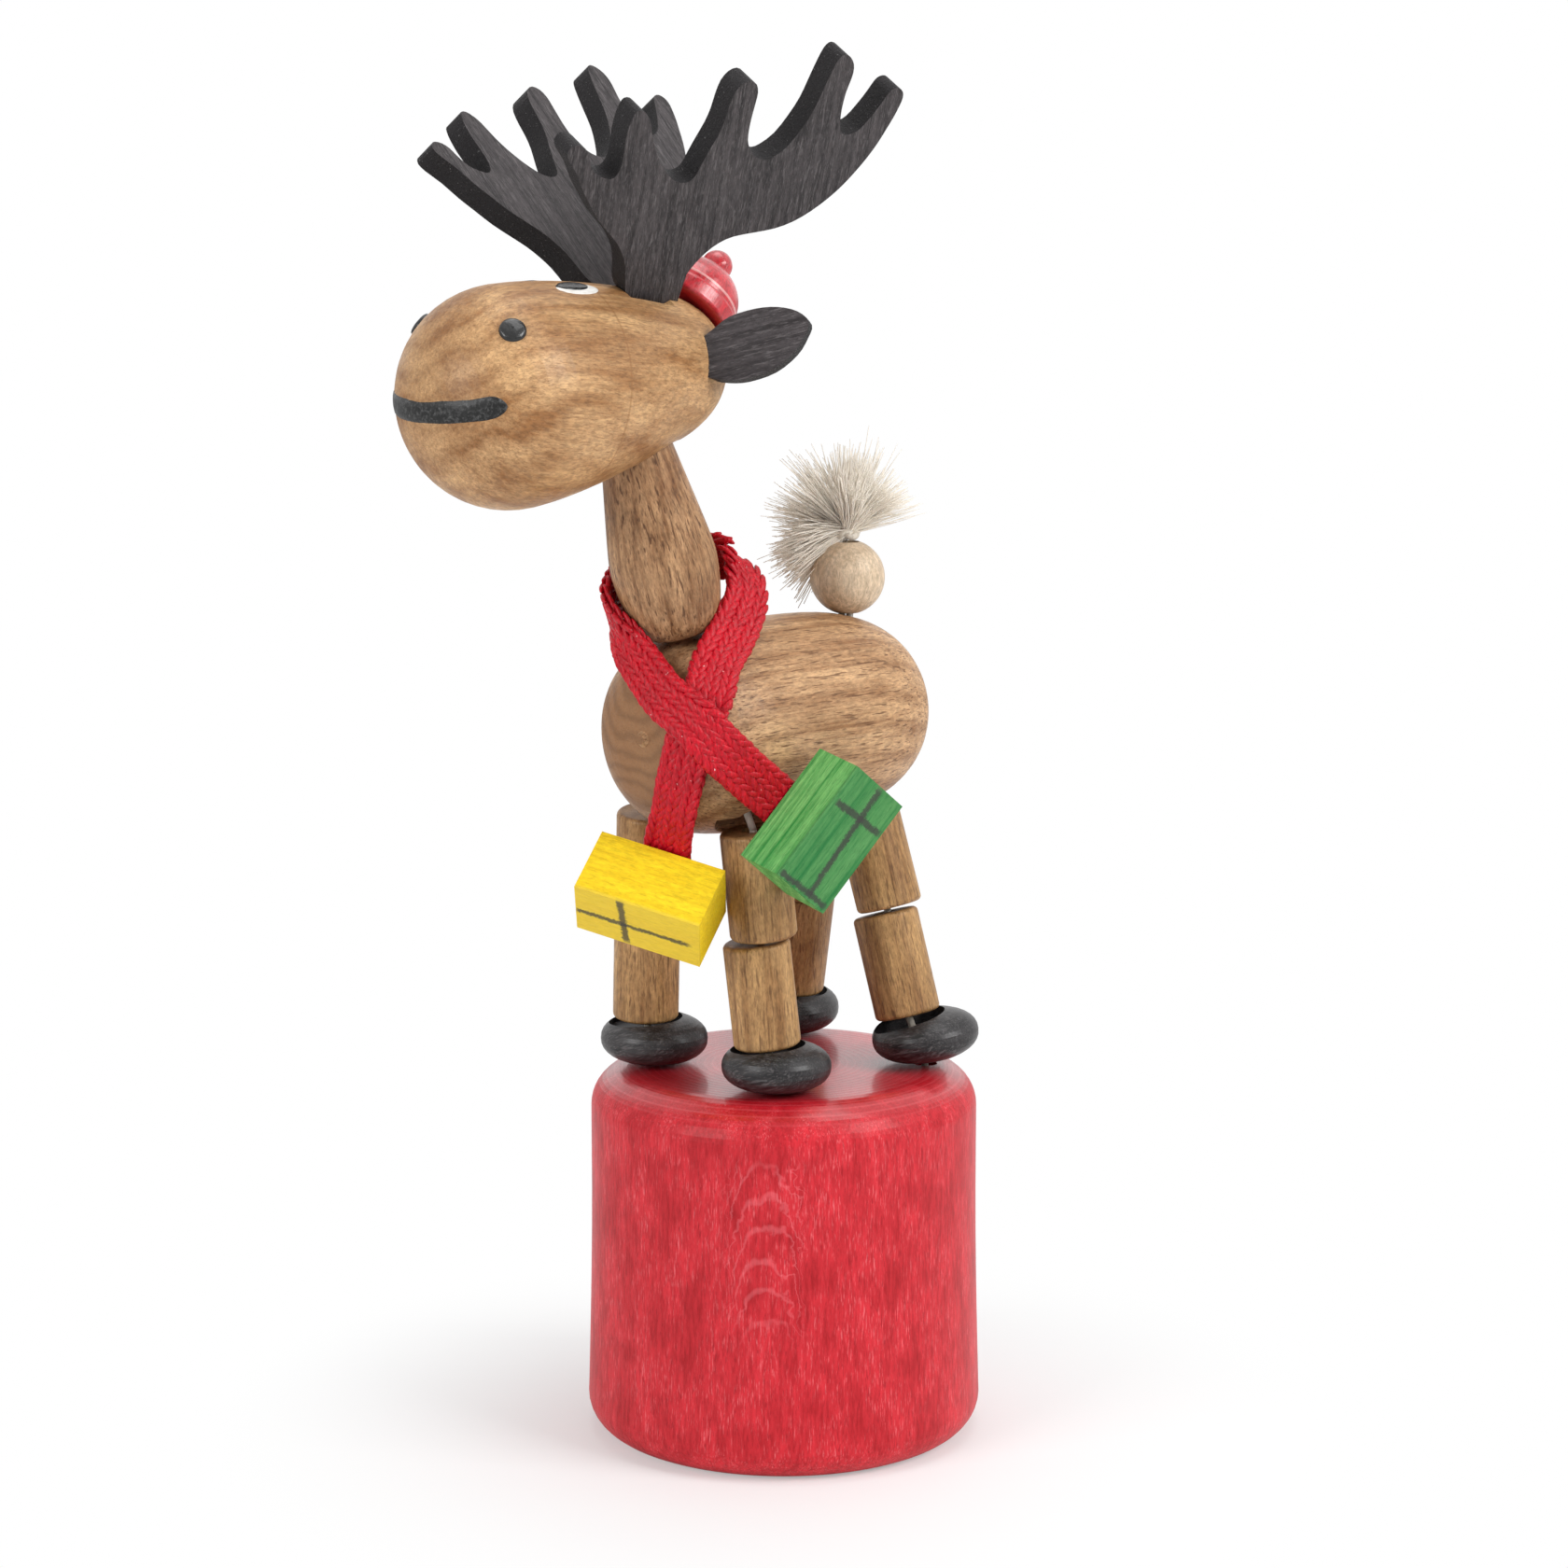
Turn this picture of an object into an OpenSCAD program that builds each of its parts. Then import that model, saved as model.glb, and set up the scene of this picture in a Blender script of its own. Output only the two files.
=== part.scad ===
// Wooden moose push puppet on a round red base.
// The moose faces -Y and its left side is at +X. The origin is the middle of the base's standing face.
// Threads run from a sprung button in the base through the legs, the body and the neck.

/* [Base] */
// Radius of the base at its waist
base_waist_r = 16; // [15.8:0.1:16.2]
// Radius of the base near its foot
base_foot_r = 16.4; // [16.2:0.1:16.8]
// Height of the base's flat top
base_h = 30.9; // [30.8:0.1:31]
// Radius of the flat top, inside the rounded edge
base_top_r = 12.4; // [12:0.1:12.8]
// Radius of the recess bored up into the base
recess_r = 12; // [11.9:0.1:12.2]
// Height of the recess's ceiling
recess_top = 24.5; // [24:0.1:25]

/* [Button and spring] */
// Radius of the press button
button_r = 11.6; // [11.2:0.1:11.6]
// Thickness of the press button
button_t = 5; // [4:0.1:5.5]
// Gap between the button and the surface that the base stands on
button_lift = 1.2; // [1:0.1:2]
// Wire of the spring
spring_wire = 0.8; // [0.6:0.1:0.9]
// Radius of the spring at the middle of its wire
spring_r = 6; // [5.5:0.1:6.3]
// Turns of the spring
spring_turns = 8; // [6:1:9]

/* [Legs] */
// Radius of the leg dowels
leg_r = 2.72; // [2.6:0.02:2.74]
// Rounding of the dowels' ends
leg_round = 0.4; // [0.3:0.05:0.5]
// Radius of a hoof bead
hoof_r = 4.45; // [4.4:0.05:4.5]
// Height of a hoof bead
hoof_h = 4.2; // [4.1:0.05:4.3]
// Depth of the seat that a leg rocks in, at the hoof and under the body
seat_depth = 1.2; // [1.15:0.05:1.25]
// Radius of the seats under the body that hold the legs loosely
seat_r = 3.3; // [3.25:0.05:3.4]
// Radius of the close seats in the hooves and over the front left leg, which carries the body
close_seat_r = 3.05; // [3:0.05:3.1]

/* [Body and neck] */
// Radius of the barrel body
body_r = 8.55; // [8.5:0.05:8.6]
// Half of the body's length
body_half = 14.1; // [14:0.05:14.2]
// Height of the body's axis
body_z = 59.85; // [59.8:0.05:59.9]
// Length of the neck
neck_len = 15.8; // [15.7:0.05:15.85]
// Forward lean of the neck, degrees
neck_lean = 17; // [16:0.5:18]

/* [Head] */
// Radius of the muzzle
muzzle_r = 8.55; // [8.5:0.05:8.6]
// Downward slope of the head's axis, degrees
head_slope = 6; // [5.5:0.5:6.5]
// Thickness of the antler plates
antler_t = 2; // [1.9:0.1:2.2]
// Thickness of the ears
ear_t = 1.8; // [1.6:0.1:2]
// Radius of the hat's band
hat_r = 3.9; // [3.7:0.1:4]

/* [Scarf, parcels and tail] */
// Width of the flat braid
scarf_w = 3.6; // [3.4:0.1:3.8]
// Thickness of the flat braid
scarf_t = 1; // [0.8:0.05:1]
// Length of a parcel
parcel_l = 10.5; // [10.3:0.1:10.7]
// Width of a parcel across its square section
parcel_w = 5.7; // [5.5:0.1:5.8]
// Radius of the tail bead
tail_r = 3.1; // [3:0.05:3.15]

/* [Hidden] */
$fn = 64;

base_round_top = 3;
base_round_foot = 2.9;
base_rim_z = 30.6;

string_r = 0.3;
bore_r = 1;
bore_shift = 0.3;
body_y = -1.4;

// Corners of the stance
FRONT_LEFT = 0;
FRONT_RIGHT = 1;
REAR_LEFT = 2;
REAR_RIGHT = 3;
CORNERS = [FRONT_LEFT, FRONT_RIGHT, REAR_LEFT, REAR_RIGHT];

// Every leg was threaded by hand, so each stands a little differently
hoof_xy = [[6.4, -7], [-7.6, -7.6], [8.2, 8.4], [-8, 8.1]];
hoof_tilt = [2, 1, 8, 3];
hoof_lift = [0, 0.02, 0.32, 0.05];
ankle = [[5.9, -7.5, 34.7], [-8.1, -8.1, 34.8], [7.2, 7.4, 35], [-7.7, 8.4, 34.8]];
knee_low = [[5.4, -8.3, 43.3], [-7.6, -8.3, 43.4], [4.9, 6.9, 43.4], [-6.1, 8.2, 43.4]];
knee_high = [[5.9, -7.9, 43.7], [-7.3, -8.4, 43.8], [5.3, 7.1, 43.9], [-5.8, 8, 43.8]];
hip = [[5.6, -8.8, 52.45], [-6.2, -9.2, 52.5], [3.1, 6.5, 51.7], [-3.1, 6.5, 51.7]];
button_ring = 7.8;

function unit(v) = v / norm(v);
function hoof_foot(i) = [hoof_xy[i][0], hoof_xy[i][1], base_h];
function hoof_mid(i) = hoof_foot(i) + [0, 0, hoof_h / 2 + hoof_lift[i]];
function button_hole(i) = concat(button_ring * unit(hoof_xy[i]), [button_lift]);
function leg_dir(i) = unit(hip[i] - ankle[i]);

neck_foot = [0, -11.5, 68.15];
neck_dir = [0, -sin(neck_lean), cos(neck_lean)];
neck_top = neck_foot + neck_len * neck_dir;
neck_gap = 0.25;
neck_seat_r = 3.5;
tail_mid = [0, 7.3, 70.9];

muzzle_mid = [0, -28.95, 87.5];
muzzle_front = 8.4;
head_back = 20.65;

// Points along an arc, for a turned outline
function arc(mid, r, from, to, steps) =
    [for (i = [0:steps]) let (a = from + (to - from) * i / steps) mid + r * [cos(a), sin(a)]];

// One quarter of a turned bulge, from its widest radius to its pole
function bulge(r, h, power, steps) =
    [for (i = [0:steps]) let (a = 90 * i / steps) [r * pow(cos(a), 2 / power), h * pow(sin(a), 2 / power)]];

function upside_down(points) = [for (i = [len(points) - 1:-1:0]) [points[i][0], -points[i][1]]];

// Both halves of a turned bulge, from the lower pole to the upper one
function bead(r, low, high, power_low, power_high, steps) =
    concat(upside_down(bulge(r, low, power_low, steps)), [for (p = bulge(r, high, power_high, steps)) p]);

// A smooth curve through a few points
function spline_point(a, b, c, d, t) =
    0.5 * (2 * b + (c - a) * t + (2 * a - 5 * b + 4 * c - d) * t * t + (3 * b - a - 3 * c + d) * t * t * t);

function closed_curve(p, steps) =
    let (n = len(p))
    [for (i = [0:n - 1], k = [0:steps - 1])
        spline_point(p[(i + n - 1) % n], p[i], p[(i + 1) % n], p[(i + 2) % n], k / steps)];

function open_curve(p, steps) =
    let (n = len(p))
    [for (i = [0:n - 2], k = [0:(i == n - 2 ? steps : steps - 1)])
        spline_point(p[max(i - 1, 0)], p[i], p[i + 1], p[min(i + 2, n - 1)], k / steps)];

// Turns +Z to a direction
module aim(v) {
    rotate([0, acos(v[2] / norm(v)), atan2(v[1], v[0])]) children();
}

module rod(from, to, r) {
    translate(from) aim(to - from) cylinder(h = norm(to - from), r = r);
}

// Sides between one ring of a swept tube and the next, and its two end caps
function tube_faces(rings, sides) = concat(
    [[for (j = [0:sides - 1]) j]],
    [for (i = [0:rings - 2], j = [0:sides - 1])
        [i * sides + j, (i + 1) * sides + j, (i + 1) * sides + (j + 1) % sides, i * sides + (j + 1) % sides]],
    [[for (j = [sides - 1:-1:0]) (rings - 1) * sides + j]]
);

function along(path, i) = unit(path[min(i + 1, len(path) - 1)] - path[max(i - 1, 0)]);

// A flat or round tube along a path. Each point has its own outward direction.
module sweep(path, outward, width, thickness, sides) {
    points = [for (i = [0:len(path) - 1], j = [0:sides - 1])
        let (t = along(path, i), o = unit(outward[i] - (outward[i] * t) * t), w = cross(t, o),
             a = 360 * (j + 0.5) / sides)
        path[i] + w * cos(a) * width / 2 + o * sin(a) * thickness / 2];
    polyhedron(points, tube_faces(len(path), sides));
}

module base_outline() {
    neck_in = base_foot_r - base_waist_r;
    polygon(concat(
        [[0, 0], [base_foot_r - base_round_foot, 0]],
        arc([base_foot_r - base_round_foot, base_round_foot], base_round_foot, -80, 0, 8),
        [for (i = [1:6]) let (s = i / 7)
            [base_foot_r - neck_in * sin(180 * s * 0.62), base_round_foot + (base_rim_z - 5.9) * s]],
        arc([base_waist_r - base_round_top, base_rim_z - base_round_top], base_round_top, 0, 62, 8),
        [[base_top_r + 1.3, base_h - 0.25], [base_top_r + 0.6, base_h - 0.06], [base_top_r, base_h], [0, base_h]]
    ));
}

module base() {
    color("#b5182c") difference() {
        rotate_extrude($fn = 128) base_outline();
        translate([0, 0, -1]) cylinder(h = recess_top + 1, r = recess_r, $fn = 128);
        for (i = CORNERS) {
            down = unit(button_hole(i) - hoof_foot(i));
            rod(hoof_foot(i) - down, hoof_foot(i) + down * 9, bore_r);
        }
    }
}

module press_button() {
    color("#d9b98a") difference() {
        translate([0, 0, button_lift]) rotate_extrude($fn = 128) polygon(concat(
            [[0, 0]],
            arc([button_r - 0.6, 0.6], 0.6, -90, 0, 5),
            arc([button_r - 0.6, button_t - 0.6], 0.6, 0, 90, 5),
            [[0, button_t]]
        ));
        for (i = CORNERS) {
            // The thread leans outwards, so the upright hole stands a little further out than the knot
            translate(button_hole(i) + bore_shift * unit([hoof_xy[i][0], hoof_xy[i][1], 0]) - [0, 0, 1])
                cylinder(h = button_t + 2, r = bore_r);
            translate(button_hole(i) - [0, 0, 1]) cylinder(h = 2.3, r = 1.5);
        }
    }
}

module button_spring() {
    bottom = button_lift + button_t + spring_wire / 2 + 0.05;
    top = recess_top - spring_wire / 2 - 0.05;
    steps = 14 * spring_turns;
    path = [for (i = [0:steps])
        [spring_r * cos(360 * i / 14), spring_r * sin(360 * i / 14), bottom + (top - bottom) * i / steps]];
    outward = [for (p = path) [p[0], p[1], 0]];
    color("#b9bcc0") sweep(path, outward, spring_wire, spring_wire, 8);
}

// A round seat across a leg's axis, open towards the leg
module leg_seat(end, way, r) {
    translate(end - way * seat_depth) aim(way) cylinder(h = seat_depth + 6, r = r);
}

module hoof(i) {
    out = atan2(hoof_xy[i][1], hoof_xy[i][0]);
    color("#26262a") difference() {
        translate(hoof_mid(i)) rotate([0, 0, out]) rotate([0, -hoof_tilt[i], 0])
            rotate_extrude() polygon(bead(hoof_r, hoof_h / 2, hoof_h / 2, 2.3, 2.3, 10));
        leg_seat(ankle[i], leg_dir(i), close_seat_r);
        rod(hoof_foot(i) - [0, 0, 1], hoof_foot(i) + unit(ankle[i] - hoof_foot(i)) * 5, bore_r);
    }
}

// A dowel with rounded ends and a hole for its thread, standing on the origin
module dowel(h) {
    difference() {
        rotate_extrude() polygon(concat(
            [[0, 0]],
            arc([leg_r - leg_round, leg_round], leg_round, -90, 0, 5),
            arc([leg_r - leg_round, h - leg_round], leg_round, 0, 90, 5),
            [[0, h]]
        ));
        translate([0, 0, -1]) cylinder(h = h + 2, r = bore_r);
    }
}

module dowel_between(from, to) {
    translate(from) aim(to - from) dowel(norm(to - from));
}

module lower_leg(i) {
    color("#9a6a3e") dowel_between(ankle[i], knee_low[i]);
}

module upper_leg(i) {
    color("#8f6138") dowel_between(knee_high[i], hip[i]);
}

module body_shape() {
    translate([0, body_y, body_z]) rotate([90, 0, 0]) {
        rotate_extrude($fn = 96) polygon(bead(body_r, body_half, body_half, 3, 4, 18));
        // The small pip that the lathe leaves on the front end
        translate([0, 0, body_half - 0.3]) cylinder(h = 0.6, r1 = 0.9, r2 = 0.4, $fn = 24);
    }
}

function neck_seat() = neck_foot - [0, 0, 0.6];
function tail_seat() = [0, 7.1, 67];

module body() {
    color("#8a6440") difference() {
        body_shape();
        for (i = CORNERS) {
            leg_seat(hip[i], -leg_dir(i), i == FRONT_LEFT ? close_seat_r : seat_r);
            target = i == FRONT_LEFT || i == FRONT_RIGHT ? neck_seat() : tail_seat();
            rod(hip[i], target + unit(target - hip[i]) * 3, bore_r);
        }
    }
}

module neck() {
    outline = [[2.4, 0], [3.1, 0.3], [3.6, 1.3], [4, 3], [4.25, 5], [4.25, 6.4], [3.95, 8.6], [3, 14.4],
               [2.8, neck_len]];
    color("#a97c4f") translate(neck_foot) aim(neck_dir) difference() {
        rotate_extrude($fn = 96) polygon(concat([[0, 0]], open_curve(outline, 4), [[0, neck_len]]));
        translate([0, 0, -1]) cylinder(h = neck_len + 2, r = 1.4);
    }
}

// The turned head, which is a broad muzzle that narrows to a round back
module head_shape() {
    back = [[muzzle_r, 0], [8.4, 2.5], [7.95, 6], [7.2, 10], [6.35, 13.5], [5.75, 16], [4.7, 18.2], [3.2, 19.7],
            [1.6, 20.45], [0, head_back]];
    translate(muzzle_mid) rotate([head_slope - 90, 0, 0]) rotate_extrude($fn = 96) polygon(concat(
        upside_down(bulge(muzzle_r, muzzle_front, 2.05, 16)),
        [for (i = [1:36]) open_curve(back, 4)[i]]
    ));
}

// The antler plates stand nearly front to back, leaning outwards like the sides of a V
antler_root = [2.5, -19, 94];
antler_splay = 6;
antler_lean = 33;
antler_roll = 3;
tenon_w = 4.6;
tenon_depth = 1.6;
notch_out = 0.85;

// The outline of an antler, as lengths backwards and upwards from its root
antler_outline = [
    [2.63, -0.03], [1.34, 0.08], [0.25, 0.45], [-0.45, 1.3], [-0.85, 2.4], [-1.25, 3.55], [-1.9, 4.6],
    [-2.75, 5.6], [-3.8, 6.5], [-5.2, 7.7], [-6.35, 9], [-7.4, 10.2], [-8.4, 11.6], [-9.5, 12.75],
    [-9.85, 13.4], [-9.65, 13.9], [-9.24, 14.05], [-8.6, 13.9], [-8.05, 13.45], [-7.67, 12.77],
    [-7.18, 12.05], [-6.59, 11.57], [-5.8, 11.24], [-5.18, 11.15], [-4.78, 11.46], [-4.62, 12.25],
    [-4.75, 13.3], [-5, 14.5], [-5.06, 15.64], [-4.97, 16.4], [-4.75, 16.85], [-4.2, 16.87], [-3.61, 16.42],
    [-3.14, 15.79], [-2.49, 14.44], [-1.9, 13.49], [-1.27, 12.68], [-0.69, 12.04], [-0.06, 11.47],
    [0.64, 10.97], [1.43, 10.72], [2.11, 10.79], [2.55, 11.27], [2.8, 12.35], [3.07, 13.43], [3.45, 14.85],
    [3.58, 16], [3.55, 17.2], [3.65, 18.35], [4.1, 19.12], [4.77, 19.4], [5.45, 19.1], [5.83, 18.4],
    [5.93, 17.56], [6.02, 16.36], [6.16, 15.32], [6.4, 14.36], [6.8, 13.68], [7.34, 13.12], [7.94, 12.75],
    [8.72, 12.58], [9.45, 12.87], [10.45, 13.8], [11.24, 15.37], [11.75, 16.9], [11.95, 18.35],
    [12.1, 19.55], [12.3, 20.75], [12.54, 21.4], [12.95, 21.65], [13.54, 21.43], [14.08, 20.85],
    [14.32, 20.1], [14.33, 19.3], [14.29, 18.5], [14.35, 17.7], [14.47, 16.89], [14.65, 16.16],
    [14.86, 15.5], [15.2, 14.95], [15.72, 14.72], [16.4, 14.86], [16.97, 15.26], [17.48, 16.06],
    [17.95, 16.96], [18.3, 17.8], [18.55, 18.4], [18.9, 18.72], [19.41, 18.78], [19.88, 18.48],
    [20.1, 17.98], [20.08, 17.3], [19.9, 16.29], [19.6, 15.2], [19.24, 13.99], [18.73, 12.75],
    [18.02, 11.45], [17.2, 10.2], [16.25, 9.1], [15.02, 8], [13.6, 7.08], [11.96, 6.48], [10.06, 6.16],
    [8.2, 5.85], [6.98, 5.3], [6.07, 4.5], [5.4, 3.6], [4.95, 2.7], [4.62, 1.75], [4.25, 0.85], [3.6, 0.22]
];

module antler_place() {
    translate([0, 0, 89]) rotate([0, -antler_roll, 0]) translate([0, 0, -89]) children();
}

// The plane of the left antler, with its outer face on the root
module on_antler_plane() {
    translate(antler_root) rotate([0, 0, -antler_splay]) rotate([0, antler_lean, 0])
        rotate([90, 0, 90]) children();
}

// The foot of the plate, which sits in a slot of the head
module antler_tenon(slack) {
    on_antler_plane() translate([0.3 - slack, -tenon_depth - slack, -antler_t - slack])
        cube([tenon_w + 2 * slack, tenon_depth + 2.6, antler_t + 2 * slack]);
}

// The round-bottomed notch that the plate's foot stands in, cut from the side of the head
module antler_notch(slack) {
    corner_r = 2;
    low = -0.07 - slack;
    on_antler_plane() translate([0, 0, -antler_t - slack])
        linear_extrude(antler_t + slack + notch_out) polygon(concat(
            [[-0.5 - slack, 5]],
            arc([corner_r - 0.5 - slack, low + corner_r], corner_r, 180, 270, 10),
            arc([4.75 + slack - corner_r, low + corner_r], corner_r, 270, 360, 10),
            [[4.75 + slack, 5]]
        ));
}

module left_antler_plate() {
    on_antler_plane() translate([0, 0, -antler_t]) linear_extrude(antler_t)
        polygon(closed_curve(antler_outline, 2));
    antler_tenon(0);
}

module left_antler() {
    color("#3a3335") antler_place() left_antler_plate();
}

module right_antler() {
    color("#3a3335") antler_place() mirror([1, 0, 0]) left_antler_plate();
}

ear_root = [4.5, -13.6, 89.7];
ear_dir = [0.73, 0.63, 0.25];
ear_turn = 78;
ear_tenon_w = 1.8;
ear_tenon_in = 0.6;
ear_tenon_out = 2.4;

ear_outline = [
    [-0.3, -1.1], [-0.3, 0.8], [0.6, 1.4], [1.9, 2], [3.3, 2.6], [5.4, 2.7], [7.1, 2.4], [8.5, 1.7], [9.2, 0.7],
    [8.7, -0.2], [7.6, -1.3], [5.7, -2.2], [3.5, -2.4], [1.9, -2.1], [0.5, -1.5]
];

module on_ear_plane() {
    spin = atan2(ear_dir[1], ear_dir[0]);
    lift = asin(ear_dir[2] / norm(ear_dir));
    translate(ear_root) rotate([0, 0, spin]) rotate([0, -lift, 0]) rotate([ear_turn, 0, 0]) children();
}

module ear_tenon(slack) {
    on_ear_plane() translate([-ear_tenon_in - slack, -ear_tenon_w / 2 - slack, -ear_t / 2 - slack])
        cube([ear_tenon_in + ear_tenon_out, ear_tenon_w + 2 * slack, ear_t + 2 * slack]);
}

module left_ear_shape() {
    difference() {
        on_ear_plane() translate([0, 0, -ear_t / 2]) linear_extrude(ear_t)
            polygon(closed_curve(ear_outline, 3));
        head_shape();
    }
    ear_tenon(0);
}

module left_ear() {
    color("#352f31") left_ear_shape();
}

module right_ear() {
    color("#352f31") mirror([1, 0, 0]) left_ear_shape();
}

module head() {
    glue_gap = 0.05;
    color("#b98a58") difference() {
        head_shape();
        antler_place() {
            antler_tenon(glue_gap);
            antler_notch(glue_gap);
            mirror([1, 0, 0]) {
                antler_tenon(glue_gap);
                antler_notch(glue_gap);
            }
        }
        ear_tenon(glue_gap);
        mirror([1, 0, 0]) ear_tenon(glue_gap);
        translate(neck_top) aim(neck_dir) {
            translate([0, 0, -1]) cylinder(h = 8, r = 1.4);
            // The seat that the neck's top stands in
            translate([0, 0, -4]) cylinder(h = 4 + neck_gap, r = neck_seat_r);
        }
    }
}

hat_foot = [0, -10.9, 93.2];
hat_lean = 45;

module hat() {
    color("#c2263a") difference() {
        translate(hat_foot) rotate([-hat_lean, 0, 0]) {
            rotate_extrude() polygon(concat(
                [[0, 0], [hat_r - 0.3, 0]],
                arc([hat_r - 0.3, 0.3], 0.3, -60, 0, 3),
                arc([hat_r - 0.3, 1.2], 0.3, 0, 60, 3),
                [[hat_r - 0.35, 1.6]],
                [for (i = [1:12]) let (a = 90 * i / 12) [(hat_r - 0.3) * cos(a), 1.6 + 3.1 * sin(a)]]
            ));
            translate([0, 0, 5]) sphere(r = 1.25);
        }
        head_shape();
    }
}

module tail_bead() {
    color("#e3cfa8") difference() {
        translate(tail_mid) sphere(r = tail_r);
        translate(tail_mid - [0, 0, 5]) cylinder(h = 10, r = bore_r);
    }
}

module tail_tuft() {
    knot = tail_mid + [0, 0, tail_r + 0.85];
    color("#ded6c6") difference() {
        union() {
            hull($fn = 24) {
                translate(knot) sphere(r = 0.7);
                translate(knot + [0.8, 2.6, 3.4]) sphere(r = 1.8);
                translate(knot + [0.1, 0.6, 5.8]) sphere(r = 2.2);
                translate(knot + [-0.9, -2.4, 3.6]) sphere(r = 1.8);
            }
            hull($fn = 24) {
                translate(knot) sphere(r = 0.65);
                translate(knot + [-2.6, -2.8, -2]) sphere(r = 1.3);
            }
        }
        translate(tail_mid) sphere(r = tail_r + 0.1);
    }
}

yellow_edge = [2.6, -15.7, 51.25];
yellow_long = [0.833, 0.493, -0.251];
yellow_front = [0.234, -0.725, -0.647];
yellow_down = cross(yellow_long, yellow_front);

green_edge = [9.4, -9.45, 55.3];
green_long = [0.229, 0.604, 0.764];
green_out = [0.967, -0.229, -0.11];
green_back = cross(green_long, green_out);

// A block with its long edges along u and its second face towards v, from the edge that holds the braid
module block(edge, u, v) {
    long = unit(u);
    third = unit(cross(u, v));
    second = cross(third, long);
    multmatrix([
        [long[0], second[0], third[0], edge[0]],
        [long[1], second[1], third[1], edge[1]],
        [long[2], second[2], third[2], edge[2]],
        [0, 0, 0, 1]
    ]) translate([-parcel_l / 2, 0, 0]) cube([parcel_l, parcel_w, parcel_w]);
}

module yellow_parcel() {
    color("#f2cf1d") block(yellow_edge, yellow_long, yellow_front);
}

module green_parcel() {
    color("#2f9a55") block(green_edge, green_long, green_out);
}

// The braid's route from the yellow parcel's back, up the chest, round the neck and down to the green parcel
scarf_lift = scarf_t / 2 + 0.1;
scarf_points = [
    yellow_edge - yellow_front * scarf_lift + yellow_down * 4,
    yellow_edge - yellow_front * scarf_lift + yellow_down * 1,
    [3.6, -15.6, 54.1], [4.7, -15.9, 57], [5.5, -15.7, 59.8], [6.1, -15.1, 62], [6.3, -14.2, 64],
    [5.3, -12.4, 66.2], [4.35, -9.5, 68.6], [3.45, -7.4, 70.9], [2.4, -6.9, 72.6], [1.3, -6.9, 73.6],
    [0, -7.3, 73.8], [-3.4, -8.8, 72.9], [-5.1, -12.2, 71.8], [-4.2, -15, 70.4], [-2.7, -16, 69],
    [-0.9, -16.2, 67.2], [1, -16.2, 65.6], [3.9, -16.7, 63.8], [6.9, -16.3, 62.1], [8.2, -14.6, 59.8],
    green_edge - green_out * scarf_lift - green_back * 1.5,
    green_edge - green_out * scarf_lift + green_back * 1,
    green_edge - green_out * scarf_lift + green_back * 4
];

// Straight away from the neck's axis
function off_neck(p) = p - neck_foot - ((p - neck_foot) * neck_dir) * neck_dir;

// The first and last points of the loop that lies on the neck
loop_from = 12;
loop_to = 16;
scarf_outward = concat(
    [yellow_front, yellow_front, [0.3, -0.95, 0.1], [0.35, -0.93, 0], [0.5, -0.86, 0.1], [0.6, -0.78, 0.2],
     [0.7, -0.6, 0.35], [0.75, -0.5, 0.35], [0.85, -0.35, 0.35], [0.97, -0.2, 0.15], [0.9, 0.15, 0.4],
     [0.5, 0.6, 0.6]],
    [for (i = [loop_from:loop_to]) unit(off_neck(scarf_points[i]))],
    [[-0.2, -0.95, 0.2], [0.1, -0.97, 0.2], [0.4, -0.9, 0.1], [0.7, -0.7, 0.1], [0.9, -0.4, 0],
     green_out, green_out, green_out]
);

module scarf() {
    color("#c4142c") sweep(open_curve(scarf_points, 3), open_curve(scarf_outward, 3), scarf_w, scarf_t, 8);
}

// The route of each thread, from its knot in the button to the neck and head or to the tail bead
function string_route(i) =
    let (front = i == FRONT_LEFT || i == FRONT_RIGHT, side = i == FRONT_LEFT || i == REAR_LEFT ? 0.45 : -0.45,
         shift = [side, 0, 0])
    concat(
        [button_hole(i) + [0, 0, 0.3], hoof_foot(i), ankle[i], (knee_low[i] + knee_high[i]) / 2, hip[i]],
        front ? [neck_seat() + shift, neck_top + shift * 1.2, neck_top + neck_dir * 6 + shift]
              : [tail_seat() + shift, tail_mid + [side, 0, tail_r - 0.4]]
    );

module string_run(i) {
    route = string_route(i);
    // The line is nearly upright all the way, so one outward direction serves
    color("#e9e2d2") sweep(route, [for (p = route) [0, 1, 0.01]], 2 * string_r, 2 * string_r, 8);
}

base();
press_button();
button_spring();
hoof(FRONT_LEFT);  // front_left_hoof
hoof(FRONT_RIGHT);  // front_right_hoof
hoof(REAR_LEFT);  // rear_left_hoof
hoof(REAR_RIGHT);  // rear_right_hoof
lower_leg(FRONT_LEFT);  // front_left_lower_leg
lower_leg(FRONT_RIGHT);  // front_right_lower_leg
lower_leg(REAR_LEFT);  // rear_left_lower_leg
lower_leg(REAR_RIGHT);  // rear_right_lower_leg
upper_leg(FRONT_LEFT);  // front_left_upper_leg
upper_leg(FRONT_RIGHT);  // front_right_upper_leg
upper_leg(REAR_LEFT);  // rear_left_upper_leg
upper_leg(REAR_RIGHT);  // rear_right_upper_leg
body();
neck();
head();
left_antler();
right_antler();
left_ear();
right_ear();
hat();
tail_bead();
tail_tuft();
scarf();
yellow_parcel();
green_parcel();
string_run(FRONT_LEFT);  // front_left_string
string_run(FRONT_RIGHT);  // front_right_string
string_run(REAR_LEFT);  // rear_left_string
string_run(REAR_RIGHT);  // rear_right_string
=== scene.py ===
"""Wooden moose push puppet on a round red base. It faces -Y and its left side is at +X."""

import math
import random

import bpy
from mathutils import Matrix, Vector, noise
from mathutils.bvhtree import BVHTree


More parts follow.
